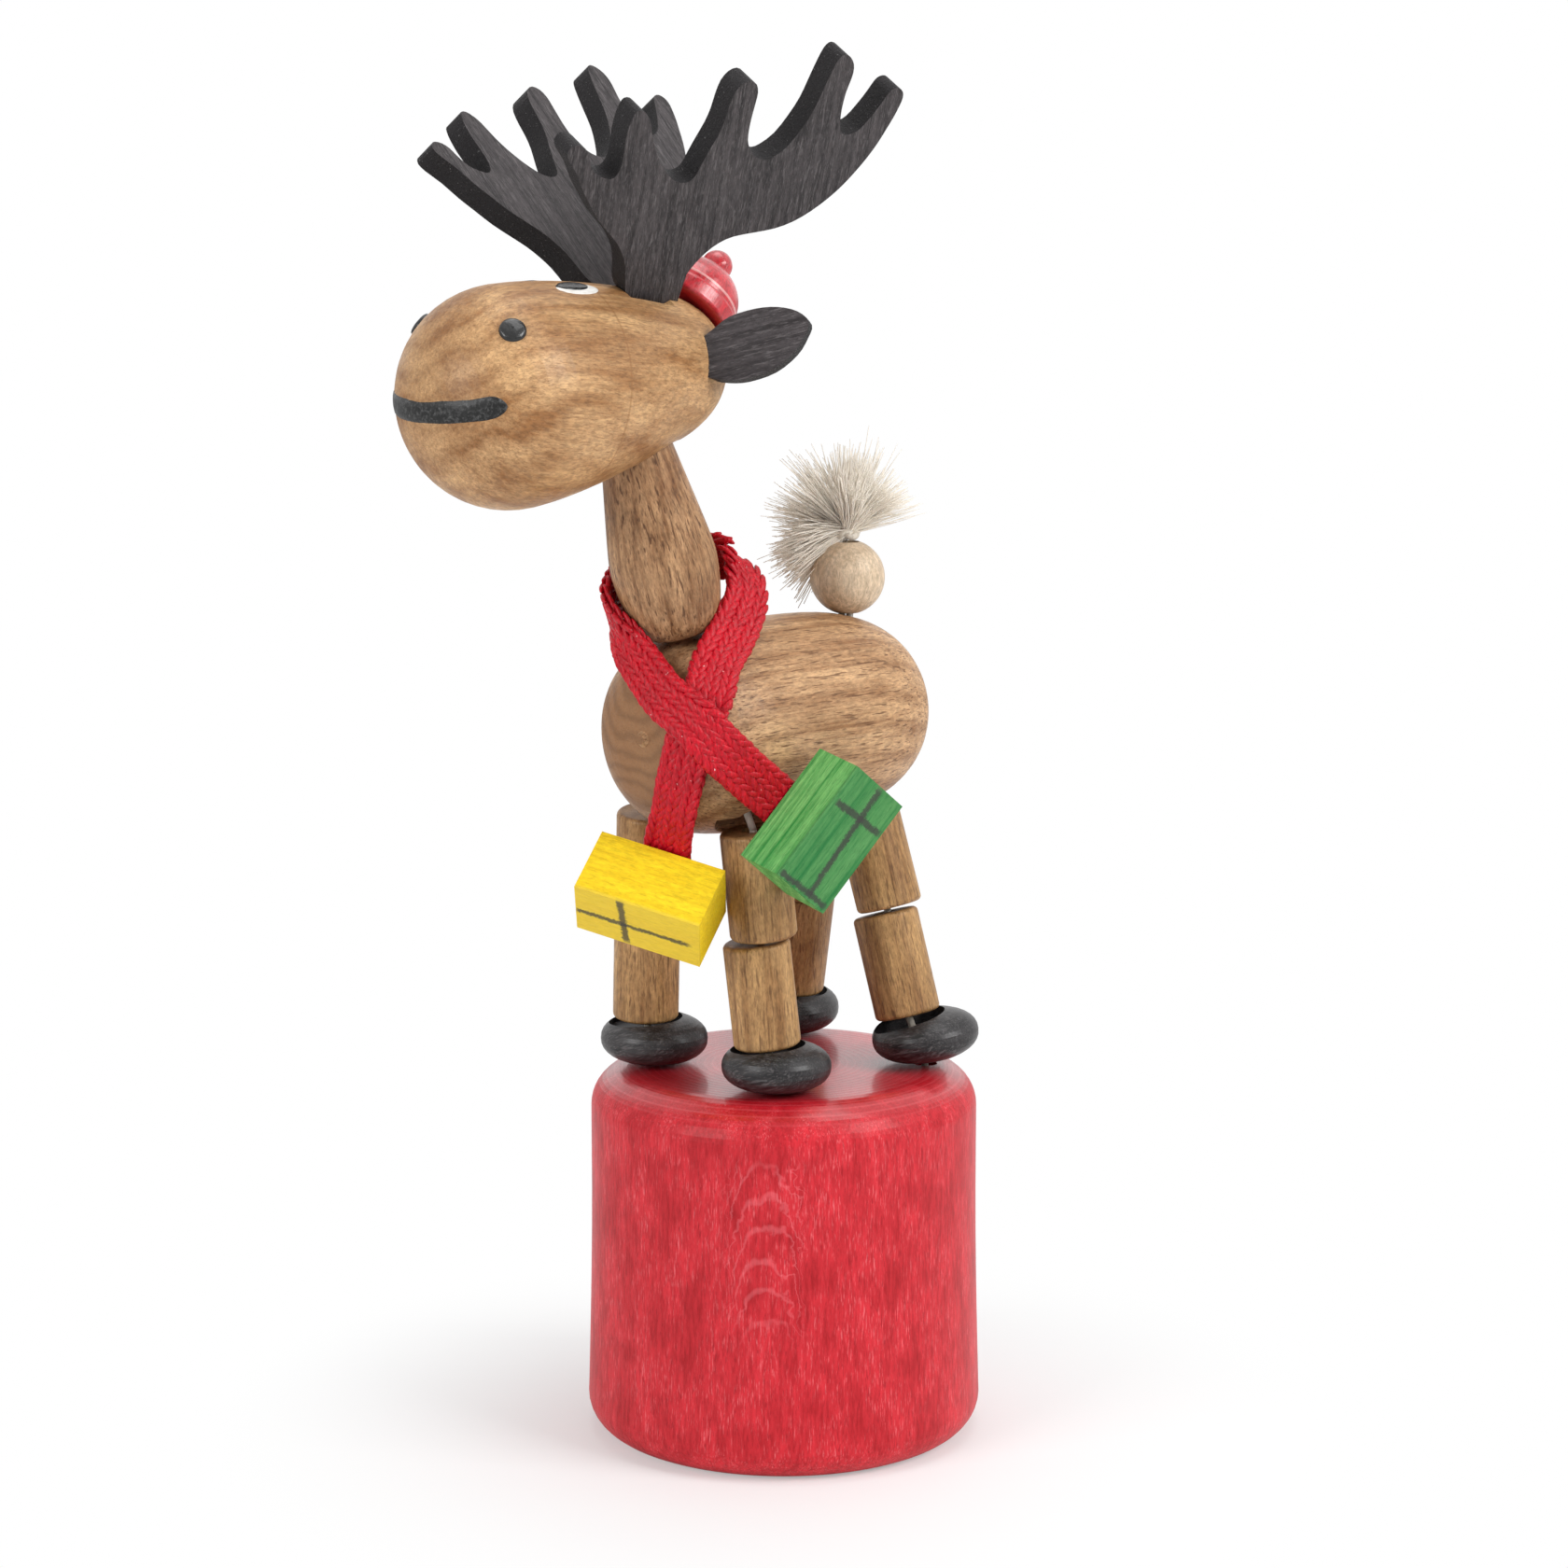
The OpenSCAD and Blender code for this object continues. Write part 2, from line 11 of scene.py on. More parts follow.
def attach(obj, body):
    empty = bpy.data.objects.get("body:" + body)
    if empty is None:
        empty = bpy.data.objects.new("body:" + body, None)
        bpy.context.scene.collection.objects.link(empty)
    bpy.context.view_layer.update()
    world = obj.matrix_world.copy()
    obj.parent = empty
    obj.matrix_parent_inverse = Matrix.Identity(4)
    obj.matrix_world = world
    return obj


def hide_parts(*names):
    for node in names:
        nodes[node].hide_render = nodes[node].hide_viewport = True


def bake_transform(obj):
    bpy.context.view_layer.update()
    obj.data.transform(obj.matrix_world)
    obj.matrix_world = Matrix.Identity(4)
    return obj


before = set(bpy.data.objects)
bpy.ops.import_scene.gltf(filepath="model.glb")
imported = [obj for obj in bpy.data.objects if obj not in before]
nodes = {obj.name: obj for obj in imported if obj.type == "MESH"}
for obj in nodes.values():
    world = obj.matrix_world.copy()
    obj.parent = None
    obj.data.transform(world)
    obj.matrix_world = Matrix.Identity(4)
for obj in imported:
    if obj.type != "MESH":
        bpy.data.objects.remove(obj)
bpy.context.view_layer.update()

MM = 0.001
PER_MM = 1000
UP = Vector((0, 0, 1))
CORNERS = ("front_left", "front_right", "rear_left", "rear_right")


def mm(x, y, z):
    return Vector((x, y, z)) * MM


# Camera

CAMERA_PLACE = mm(223.7, -216.0, 107.9)
CAMERA_AZIMUTH = math.radians(46)
CAMERA_PITCH = math.radians(9.762)
FOCAL_PIXELS = 4120
FRAME_PIXELS = 1680
SENSOR_MM = 36
CLIP_START = 0.01
SIDE_WAY = Vector((math.cos(CAMERA_AZIMUTH), math.sin(CAMERA_AZIMUTH), 0))
AHEAD_WAY = Vector((-math.sin(CAMERA_AZIMUTH), math.cos(CAMERA_AZIMUTH), 0))


def set_camera():
    ahead = AHEAD_WAY * math.cos(CAMERA_PITCH) - UP * math.sin(CAMERA_PITCH)
    up = SIDE_WAY.cross(ahead)
    data = bpy.data.cameras.new("camera")
    data.sensor_width = SENSOR_MM
    data.lens = SENSOR_MM * FOCAL_PIXELS / FRAME_PIXELS
    data.clip_start = CLIP_START
    camera = bpy.data.objects.new("camera", data)
    turn = Matrix((SIDE_WAY, up, -ahead)).transposed().to_4x4()
    camera.matrix_world = Matrix.Translation(CAMERA_PLACE) @ turn
    bpy.context.collection.objects.link(camera)
    bpy.context.scene.camera = camera


# Mesh helpers

def make_piece(name, verts, faces, smooth=True):
    mesh = bpy.data.meshes.new(name)
    mesh.from_pydata([tuple(v) for v in verts], [], faces)
    mesh.update()
    for face in mesh.polygons:
        face.use_smooth = smooth
    piece = bpy.data.objects.new(name, mesh)
    bpy.context.collection.objects.link(piece)
    return piece


def curve_through(points, steps):
    """A smooth open curve through the points, which may be places or directions."""
    last = len(points) - 1
    made = []
    for i in range(last):
        a, b = points[max(i - 1, 0)], points[i]
        c, d = points[i + 1], points[min(i + 2, last)]
        for k in range(steps):
            t = k / steps
            made.append(
                0.5 * (2 * b + (c - a) * t + (2 * a - 5 * b + 4 * c - d) * t * t
                       + (3 * b - a - 3 * c + d) * t * t * t)
            )
    made.append(points[last].copy())
    return made


def add_ring(verts, middle, across, out, width, height, sides):
    """Adds one oval ring and returns the number of its first vertex."""
    first = len(verts)
    for k in range(sides):
        angle = 2 * math.pi * k / sides
        verts.append(middle + across * (width * math.cos(angle)) + out * (height * math.sin(angle)))
    return first


def join_rings(faces, first, second, sides):
    for k in range(sides):
        after = (k + 1) % sides
        faces.append((first + k, first + after, second + after, second + k))


def add_tube(verts, faces, path, widths, heights, out_ways, sides):
    """Adds a closed tube along a path, with its own width and height at each point."""
    rings = []
    for i, point in enumerate(path):
        way = (path[min(i + 1, len(path) - 1)] - path[max(i - 1, 0)]).normalized()
        out = out_ways[i] if isinstance(out_ways, list) else out_ways
        out = (out - way * out.dot(way)).normalized()
        rings.append(add_ring(verts, point, way.cross(out), out, widths[i], heights[i], sides))
    for a, b in zip(rings, rings[1:]):
        join_rings(faces, a, b, sides)
    faces.append(tuple(range(rings[0] + sides - 1, rings[0] - 1, -1)))
    faces.append(tuple(range(rings[-1], rings[-1] + sides)))


# Plaited braid scarf

BRAID_WIDTH = 3.6 * MM
BRAID_THICK = 1.0 * MM
BRAID_LIFT = BRAID_THICK / 2 + 0.1 * MM

YELLOW_EDGE = mm(2.6, -15.7, 51.25)
YELLOW_LONG = Vector((0.833, 0.493, -0.251)).normalized()
YELLOW_FRONT = Vector((0.234, -0.725, -0.647)).normalized()
YELLOW_DOWN = YELLOW_LONG.cross(YELLOW_FRONT)

GREEN_EDGE = mm(9.4, -9.45, 55.3)
GREEN_LONG = Vector((0.229, 0.604, 0.764)).normalized()
GREEN_OUT = Vector((0.967, -0.229, -0.11)).normalized()
GREEN_BACK = GREEN_LONG.cross(GREEN_OUT)

NECK_FOOT = mm(0, -11.5, 68.15)
NECK_WAY = Vector((0, -math.sin(math.radians(17)), math.cos(math.radians(17))))

BRAID_POINTS = [
    YELLOW_EDGE - YELLOW_FRONT * BRAID_LIFT + YELLOW_DOWN * 4 * MM,
    YELLOW_EDGE - YELLOW_FRONT * BRAID_LIFT + YELLOW_DOWN * 1 * MM,
    mm(3.6, -15.6, 54.1), mm(4.7, -15.9, 57), mm(5.5, -15.7, 59.8), mm(6.1, -15.1, 62),
    mm(6.3, -14.2, 64), mm(5.3, -12.4, 66.2), mm(4.35, -9.5, 68.6), mm(3.45, -7.4, 70.9),
    mm(2.4, -6.9, 72.6), mm(1.3, -6.9, 73.6), mm(0, -7.3, 73.8), mm(-3.4, -8.8, 72.9),
    mm(-5.1, -12.2, 71.8), mm(-4.2, -15, 70.4), mm(-2.7, -16, 69), mm(-0.9, -16.2, 67.2),
    mm(1, -16.2, 65.6), mm(3.9, -16.7, 63.8), mm(6.9, -16.3, 62.1), mm(8.2, -14.6, 59.8),
    GREEN_EDGE - GREEN_OUT * BRAID_LIFT - GREEN_BACK * 1.5 * MM,
    GREEN_EDGE - GREEN_OUT * BRAID_LIFT + GREEN_BACK * 1 * MM,
    GREEN_EDGE - GREEN_OUT * BRAID_LIFT + GREEN_BACK * 4 * MM,
]
# These points, counted from 0, lie round the neck, where the braid's face points away from it
LOOP_FROM = 12
LOOP_TO = 16


def off_neck(point):
    return point - NECK_FOOT - NECK_WAY * (point - NECK_FOOT).dot(NECK_WAY)


BRAID_OUT = [Vector(v).normalized() for v in (
    YELLOW_FRONT, YELLOW_FRONT, (0.3, -0.95, 0.1), (0.35, -0.93, 0), (0.5, -0.86, 0.1),
    (0.6, -0.78, 0.2), (0.7, -0.6, 0.35), (0.75, -0.5, 0.35), (0.85, -0.35, 0.35),
    (0.97, -0.2, 0.15), (0.9, 0.15, 0.4), (0.5, 0.6, 0.6),
)] + [off_neck(BRAID_POINTS[i]).normalized() for i in range(LOOP_FROM, LOOP_TO + 1)] + [
    Vector(v).normalized() for v in (
        (-0.2, -0.95, 0.2), (0.1, -0.97, 0.2), (0.4, -0.9, 0.1), (0.7, -0.7, 0.1),
        (0.9, -0.4, 0), GREEN_OUT, GREEN_OUT, GREEN_OUT,
    )
]

BRAID_CURVE_STEPS = 8
BRAID_SEED = 7
CORE_STEPS = 160
CORE_WIDTH = BRAID_WIDTH * 0.45
CORE_THICK = BRAID_THICK * 0.3
STITCH_COLUMNS = 6
STITCH_PITCH = 0.92 * MM
STITCH_LONG = 2.15 * MM
STITCH_WIDE = 0.7 * MM
STITCH_THICK = 0.46 * MM
STITCH_SLANT = math.radians(21)
STITCH_SIDES = 6
STITCH_SAG = 0.16 * MM
# How far a stitch may be off: by shares of the pitch, by its angle and by its height
STITCH_SHIFT = 0.06
STITCH_TURN = 0.07
STITCH_RISE = 0.03 * MM


class Ribbon:
    """Places on a flat braid, by the length along it."""

    def __init__(self, points, out_ways, steps):
        self.path = curve_through(points, steps)
        self.out = [v.normalized() for v in curve_through(out_ways, steps)]
        self.reach = [0.0]
        for a, b in zip(self.path, self.path[1:]):
            self.reach.append(self.reach[-1] + (b - a).length)
        self.length = self.reach[-1]

    def at(self, along):
        along = min(max(along, 0), self.length)
        i = 0
        while i < len(self.reach) - 2 and self.reach[i + 1] < along:
            i += 1
        t = (along - self.reach[i]) / (self.reach[i + 1] - self.reach[i])
        point = self.path[i].lerp(self.path[i + 1], t)
        before, after = self.path[max(i - 1, 0)], self.path[min(i + 2, len(self.path) - 1)]
        way = (after - before).normalized()
        out = self.out[i].lerp(self.out[i + 1], t)
        out = (out - way * out.dot(way)).normalized()
        return point, way, out


def add_stitch(verts, faces, middle, way, out):
    """One plump strand of yarn, seen between the strands that cross it."""
    spots = (-1, -0.72, -0.25, 0.25, 0.72, 1)
    plump = (0.25, 0.75, 1, 1, 0.75, 0.25)
    path = [middle + way * (t * STITCH_LONG / 2) - out * (STITCH_SAG * t * t) for t in spots]
    widths = [STITCH_WIDE / 2 * p for p in plump]
    heights = [STITCH_THICK / 2 * p for p in plump]
    add_tube(verts, faces, path, widths, heights, out, STITCH_SIDES)


def make_braid():
    ribbon = Ribbon(BRAID_POINTS, BRAID_OUT, BRAID_CURVE_STEPS)
    chance = random.Random(BRAID_SEED)
    verts, faces = [], []
    core = [ribbon.at(ribbon.length * i / CORE_STEPS) for i in range(CORE_STEPS + 1)]
    add_tube(
        verts, faces, [p for p, _, _ in core], [CORE_WIDTH] * len(core), [CORE_THICK] * len(core),
        [o for _, _, o in core], 10,
    )
    rows = int(ribbon.length / STITCH_PITCH)
    column_wide = (BRAID_WIDTH - STITCH_WIDE * 0.8) / (STITCH_COLUMNS - 1)
    for row in range(rows):
        for column in range(STITCH_COLUMNS):
            stagger = 0.5 if column % 2 else 0.0
            along = (row + 0.5 + stagger + chance.uniform(-STITCH_SHIFT, STITCH_SHIFT)) * STITCH_PITCH
            point, way, out = ribbon.at(along)
            across = way.cross(out)
            place = (column - (STITCH_COLUMNS - 1) / 2) * column_wide
            slant = STITCH_SLANT * (1 if column % 2 else -1) + chance.uniform(-STITCH_TURN, STITCH_TURN)
            for face in (1, -1):
                lie = way * math.cos(slant) + across * math.sin(slant) * face
                lift = BRAID_THICK * (0.27 - 0.05 * abs(place) / (BRAID_WIDTH / 2))
                lift += chance.uniform(-STITCH_RISE, STITCH_RISE)
                middle = point + across * place + out * (face * lift)
                add_stitch(verts, faces, middle, lie, out * face)
    piece = make_piece("plaited_scarf", verts, faces)
    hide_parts("scarf")
    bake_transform(piece)
    return piece


# Frayed thread on the tail bead

TAIL_MIDDLE = mm(0, 7.3, 70.9)
TAIL_RADIUS = 3.1 * MM
TUFT_FOOT = TAIL_MIDDLE + UP * (TAIL_RADIUS + 0.7 * MM)
TUFT_SEED = 21
TUFT_LEFT = Vector((-0.695, -0.719, 0))
TUFT_NEAR = Vector((0.719, -0.695, 0))
# Each fan is a middle direction, how far it spreads, its length in millimetres and its number of bundles
TUFT_FANS = (
    (UP * 1.0 + TUFT_LEFT * 0.1, 0.5, 7.3, 17), (UP * 0.9 - TUFT_LEFT * 0.7, 0.4, 6.2, 11),
    (UP * 0.8 + TUFT_LEFT * 0.95, 0.36, 6.2, 12), (UP * 0.9 + TUFT_NEAR * 0.7, 0.45, 6, 8),
    (UP * 0.9 - TUFT_NEAR * 0.7, 0.45, 6, 8), (TUFT_LEFT * 1.0 - UP * 0.2 + TUFT_NEAR * 0.1, 0.36, 6.2, 14),
    (TUFT_LEFT * 0.85 - UP * 0.6 - TUFT_NEAR * 0.1, 0.3, 5.9, 12),
)
BUNDLE_FIBRES = 22
BUNDLE_BEND = 0.3
FIBRE_SPREAD = 0.09
FIBRE_BEND = 0.18
FIBRE_REACH = (0.72, 1.04)
ROOT_SPREAD = 0.16 * MM
FIBRE_RADIUS = 0.06 * MM
FIBRE_STEPS = 7
FIBRE_SIDES = 4
FIBRE_SAG = 0.35 * MM
TAIL_KNOT_PLACE = TAIL_MIDDLE + UP * (TAIL_RADIUS + 0.55 * MM)
TAIL_KNOT_RADIUS = 0.32 * MM
KNOT_STEPS = 48


def scatter(chance, spread):
    return Vector([chance.gauss(0, spread) for _ in range(3)])


def add_fibre(verts, faces, start, way, length, bend):
    path, widths = [], []
    for i in range(FIBRE_STEPS + 1):
        t = i / FIBRE_STEPS
        path.append(start + way * (length * t) + bend * (length * 0.3 * t * t) - UP * (FIBRE_SAG * t * t))
        widths.append(FIBRE_RADIUS * (1 - 0.5 * t))
    add_tube(verts, faces, path, widths, widths, way.orthogonal().normalized(), FIBRE_SIDES)


def make_tuft():
    chance = random.Random(TUFT_SEED)
    verts, faces = [], []
    for middle, spread, length, bundles in TUFT_FANS:
        for _ in range(bundles):
            aim = (middle.normalized() + scatter(chance, spread * 0.6)).normalized()
            bend = scatter(chance, BUNDLE_BEND)
            for _ in range(BUNDLE_FIBRES):
                way = (aim + scatter(chance, FIBRE_SPREAD)).normalized()
                own = bend + scatter(chance, FIBRE_BEND)
                reach = length * MM * chance.uniform(*FIBRE_REACH)
                root = TUFT_FOOT + scatter(chance, ROOT_SPREAD)
                add_fibre(verts, faces, root, way, reach, own)
    tuft = make_piece("frayed_thread_tail", verts, faces)
    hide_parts("tail_tuft")
    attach(tuft, "tail")
    return tuft


def make_knot(name, place, radius, body):
    """A small overhand knot."""
    path = []
    for i in range(KNOT_STEPS + 1):
        t = 2 * math.pi * i / KNOT_STEPS
        x = math.sin(t) + 2 * math.sin(2 * t)
        y = math.cos(t) - 2 * math.cos(2 * t)
        path.append(place + Vector((x, y, -math.sin(3 * t) * 1.1)) * (radius * 0.8))
    verts, faces = [], []
    outs = [(p - place).normalized() for p in path]
    thick = [radius] * len(path)
    add_tube(verts, faces, path, thick, thick, outs, 8)
    knot = make_piece(name, verts, faces)
    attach(knot, body)
    return knot


# Threads through the hooves, legs, body and neck

# Where each thread passes its hoof, ankle, knee and hip, in millimetres
THREAD_PLACES = {
    "front_left": ((6.4, -7, 30.9), (5.9, -7.5, 34.7), (5.65, -8.1, 43.5), (5.6, -8.8, 52.45)),
    "front_right": ((-7.6, -7.6, 30.9), (-8.1, -8.1, 34.8), (-7.45, -8.35, 43.6), (-6.2, -9.2, 52.5)),
    "rear_left": ((8.2, 8.4, 30.9), (7.2, 7.4, 35), (5.1, 7, 43.65), (3.1, 6.5, 51.7)),
    "rear_right": ((-8, 8.1, 30.9), (-7.7, 8.4, 34.8), (-5.95, 8.2, 43.6), (-3.1, 6.5, 51.7)),
}
THREAD_RADIUS = 0.3 * MM
THREAD_STEP = 0.5 * MM
# Half the distance between the two threads that share the neck or the tail bead
THREAD_APART = 0.45 * MM
# The threads start in a ring at this height, in the button
KNOT_RING = 7.8 * MM
KNOT_HEIGHT = 1.5 * MM
NECK_LENGTH = 15.8 * MM
NECK_SEAT = NECK_FOOT - mm(0, 0, 0.6)
NECK_TOP = NECK_FOOT + NECK_WAY * NECK_LENGTH
NECK_THREAD_END = NECK_TOP + NECK_WAY * 6 * MM
TAIL_SEAT = mm(0, 7.1, 67)
TAIL_THREAD_END = TAIL_MIDDLE + UP * (TAIL_RADIUS - 0.4 * MM)


def make_thread(corner, part, corners):
    """One stretch of a thread, with a ring about every half millimetre."""
    path = [corners[0]]
    for a, b in zip(corners, corners[1:]):
        steps = max(1, round((b - a).length / THREAD_STEP))
        path += [a.lerp(b, (k + 1) / steps) for k in range(steps)]
    verts, faces = [], []
    thick = [THREAD_RADIUS] * len(path)
    add_tube(verts, faces, path, thick, thick, Vector((0, 1, 0.01)), 8)
    thread = make_piece(corner + "_thread_" + part, verts, faces)
    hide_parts(corner + "_string")
    return thread


def make_threads():
    made = []

    def stretch(corner, part, corners):
        thread = make_thread(corner, part, corners)
        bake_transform(thread)
        made.append(thread)

    for corner in CORNERS:
        shift = Vector((THREAD_APART if corner.endswith("left") else -THREAD_APART, 0, 0))
        foot, ankle, knee, hip = [mm(*place) for place in THREAD_PLACES[corner]]
        knot = Vector((foot.x, foot.y, 0)).normalized() * KNOT_RING + UP * KNOT_HEIGHT
        stretch(corner, "foot", [knot, foot, ankle])
        stretch(corner, "leg", [ankle, knee, hip])
        if corner.startswith("front"):
            seat, top = NECK_SEAT + shift, NECK_TOP + shift * 1.2
            middle = seat.lerp(top, 0.5)
            stretch(corner, "body", [hip, seat, middle])
            stretch(corner, "neck", [middle, top, NECK_THREAD_END + shift])
        else:
            stretch(corner, "body", [hip, TAIL_SEAT + shift, TAIL_THREAD_END + shift])
    return made


def make_spring():
    """The spring again, as a piece of its own; the part's spring is hidden."""
    solid = nodes["button_spring"].data
    verts = [v.co.copy() for v in solid.vertices]
    coil = make_piece("return_spring", verts, [tuple(p.vertices) for p in solid.polygons])
    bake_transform(coil)
    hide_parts("button_spring")
    return coil


# Painted eyes, nostrils and mouth

PAINT_REACH = 4 * MM
PAINT_SUNK = 0.02 * MM
HEAD_HEIGHT = 88 * MM


def surface_of(node):
    mesh = nodes[node].data
    verts = [v.co.copy() for v in mesh.vertices]
    return BVHTree.FromPolygons(verts, [tuple(p.vertices) for p in mesh.polygons])


def on_surface(surface, point, way):
    """The place and normal straight under a point."""
    hit, normal, _, _ = surface.ray_cast(point + way * PAINT_REACH, -way)
    if hit is None:
        hit, normal, _, _ = surface.find_nearest(point)
    return hit, normal


def paint_spot(name, surface, middle, long_way, half_long, half_wide, thick):
    """A drop of paint with a rounded rim, lying on the wood."""
    head_middle = Vector((0, middle.y, HEAD_HEIGHT))
    hit, normal = on_surface(surface, middle, (middle - head_middle).normalized())
    across = normal.cross(long_way).normalized()
    along = across.cross(normal).normalized()
    rings, sides = 10, 40
    verts, faces = [], []
    for r in range(rings + 1):
        share = r / rings
        lift = thick * math.sqrt(max(0.0, 1 - share ** 4)) + PAINT_SUNK
        for k in range(sides):
            angle = 2 * math.pi * k / sides
            x, y = math.cos(angle), math.sin(angle)
            wave = 1 + 0.025 * noise.noise(Vector((x * 2, y * 2, middle.x / MM)))
            flat = hit + along * (half_long * share * wave * x) + across * (half_wide * share * wave * y)
            place, face_way = on_surface(surface, flat, normal)
            verts.append(place + face_way * (lift if r < rings else -PAINT_SUNK))
    for r in range(rings):
        join_rings(faces, r * sides, (r + 1) * sides, sides)
    faces.append(tuple(range(sides)))
    piece = make_piece(name, verts, faces)
    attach(piece, "head")
    return piece


MOUTH_POINTS = [
    mm(6.5, -34.4, 87.4), mm(5.6, -35.15, 87.3), mm(4.5, -35.6, 87.1), mm(2.4, -36.5, 86.9),
    mm(0, -37.2, 86.75),
]
MOUTH_CENTRE = mm(0, -28.95, 87.5)
MOUTH_HALF_WIDE = 0.86 * MM
MOUTH_THICK = 0.1 * MM
MOUTH_CURVE_STEPS = 12
MOUTH_END_STEPS = 13


def make_mouth(surface):
    points = MOUTH_POINTS + [Vector((-p.x, p.y, p.z)) for p in reversed(MOUTH_POINTS[:-1])]
    path = curve_through(points, MOUTH_CURVE_STEPS)
    verts, faces = [], []
    across_steps = 8
    row = across_steps + 1
    count = len(path)
    for i, point in enumerate(path):
        out = (point - MOUTH_CENTRE).normalized()
        way = (path[min(i + 1, count - 1)] - path[max(i - 1, 0)]).normalized()
        across = out.cross(way).normalized()
        end = min(i, count - 1 - i) / MOUTH_END_STEPS
        wide = MOUTH_HALF_WIDE * (math.sin(min(end, 1) * math.pi / 2) ** 0.75 * 0.98 + 0.02)
        wide *= 1 + 0.06 * noise.noise(point / MM * 0.5)
        for k in range(row):
            share = -1 + 2 * k / across_steps
            ragged = 0.05 * MM * noise.noise(point / MM * 1.3 + Vector((0, 0, share * 3)))
            spot, normal = on_surface(surface, point + across * (share * wide + ragged), out)
            lift = MOUTH_THICK * (1 - abs(share) ** 3) + 0.015 * MM
            verts.append(spot + normal * (lift if abs(share) < 1 else -PAINT_SUNK))
    for i in range(count - 1):
        for k in range(across_steps):
            a = i * row + k
            faces.append((a, a + row, a + row + 1, a + 1))
    piece = make_piece("painted_mouth", verts, faces)
    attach(piece, "head")
    return piece


# Each spot's name, middle on the left side, half length, half width, thickness and colour, in millimetres
SPOTS = (
    ("nostril", (5.3, -32.9, 92.8), 1.05, 1.05, 0.3, "black"),
    ("eye_white", (2.75, -24.3, 95.55), 2.15, 1.05, 0.1, "white"),
    ("pupil", (2.55, -24.65, 95.6), 1.65, 0.82, 0.25, "black"),
)


def make_face():
    """The painted pieces of the head, each with the name of its colour."""
    surface = surface_of("head")
    made = []
    for side, sign in (("left", 1), ("right", -1)):
        for name, (x, y, z), half_long, half_wide, thick, colour in SPOTS:
            long_way = UP if name == "nostril" else Vector((-0.1 * sign, 1, 0))
            made.append((paint_spot(
                side + "_" + name, surface, mm(x * sign, y, z), long_way,
                half_long * MM, half_wide * MM, thick * MM), colour))
    made.append((make_mouth(surface), "mouth"))
    return made


# Shader building

def feed(tree, socket, value):
    """Links a socket to an input, or sets the input to a value."""
    if isinstance(value, bpy.types.NodeSocket):
        tree.links.new(value, socket)
    else:
        socket.default_value = value


def put(tree, kind, *values, **settings):
    """Adds a node. Its inputs are given in order, each as a socket, a value or None."""
    node = tree.nodes.new(kind)
    for key, value in settings.items():
        setattr(node, key, value)
    for socket, value in zip(node.inputs, values):
        if value is not None:
            feed(tree, socket, value)
    return node


def maths(tree, how, *values, clamp=False):
    return put(tree, "ShaderNodeMath", *values, operation=how, use_clamp=clamp).outputs[0]


def times(tree, *values):
    """The product of two or more values."""
    product = values[0]
    for value in values[1:]:
        product = maths(tree, "MULTIPLY", product, value)
    return product


def vectors(tree, how, *values):
    return put(tree, "ShaderNodeVectorMath", *values, operation=how).outputs


def blend_colour(tree, share, first, second, how="MIX"):
    node = put(tree, "ShaderNodeMix", share, data_type="RGBA", blend_type=how)
    feed(tree, node.inputs[6], first)
    feed(tree, node.inputs[7], second)
    return node.outputs[2]


def step_up(tree, value, low, high, least=0.0, most=1.0):
    node = put(tree, "ShaderNodeMapRange", value, low, high, least, most)
    node.interpolation_type = "SMOOTHSTEP"
    return node.outputs[0]


def stretched(tree, vector, x, y, z):
    return vectors(tree, "MULTIPLY", vector, (x, y, z))[0]


def upward(tree, vector):
    """The Z part of a vector."""
    return put(tree, "ShaderNodeSeparateXYZ", vector).outputs["Z"]


def shaded(tree, colour, amount):
    """The colour, darker or lighter by an amount round 1."""
    return blend_colour(tree, 1.0, colour, amount, how="MULTIPLY")


def speckle(tree, vector, size, detail=2.0, rough=0.5):
    node = put(tree, "ShaderNodeTexNoise", vector)
    node.inputs["Scale"].default_value = size
    node.inputs["Detail"].default_value = detail
    node.inputs["Roughness"].default_value = rough
    return node.outputs["Fac"]


def new_group(name, inputs, outputs):
    group = bpy.data.node_groups.new(name, "ShaderNodeTree")
    for label, kind, value in inputs:
        socket = group.interface.new_socket(name=label, in_out="INPUT", socket_type=kind)
        if value is not None:
            socket.default_value = value
    for label, kind in outputs:
        group.interface.new_socket(name=label, in_out="OUTPUT", socket_type=kind)
    entry = group.nodes.new("NodeGroupInput")
    leave = group.nodes.new("NodeGroupOutput")
    return group, entry.outputs, leave.inputs


FLOAT = "NodeSocketFloat"
COLOUR = "NodeSocketColor"
VECTOR = "NodeSocketVector"


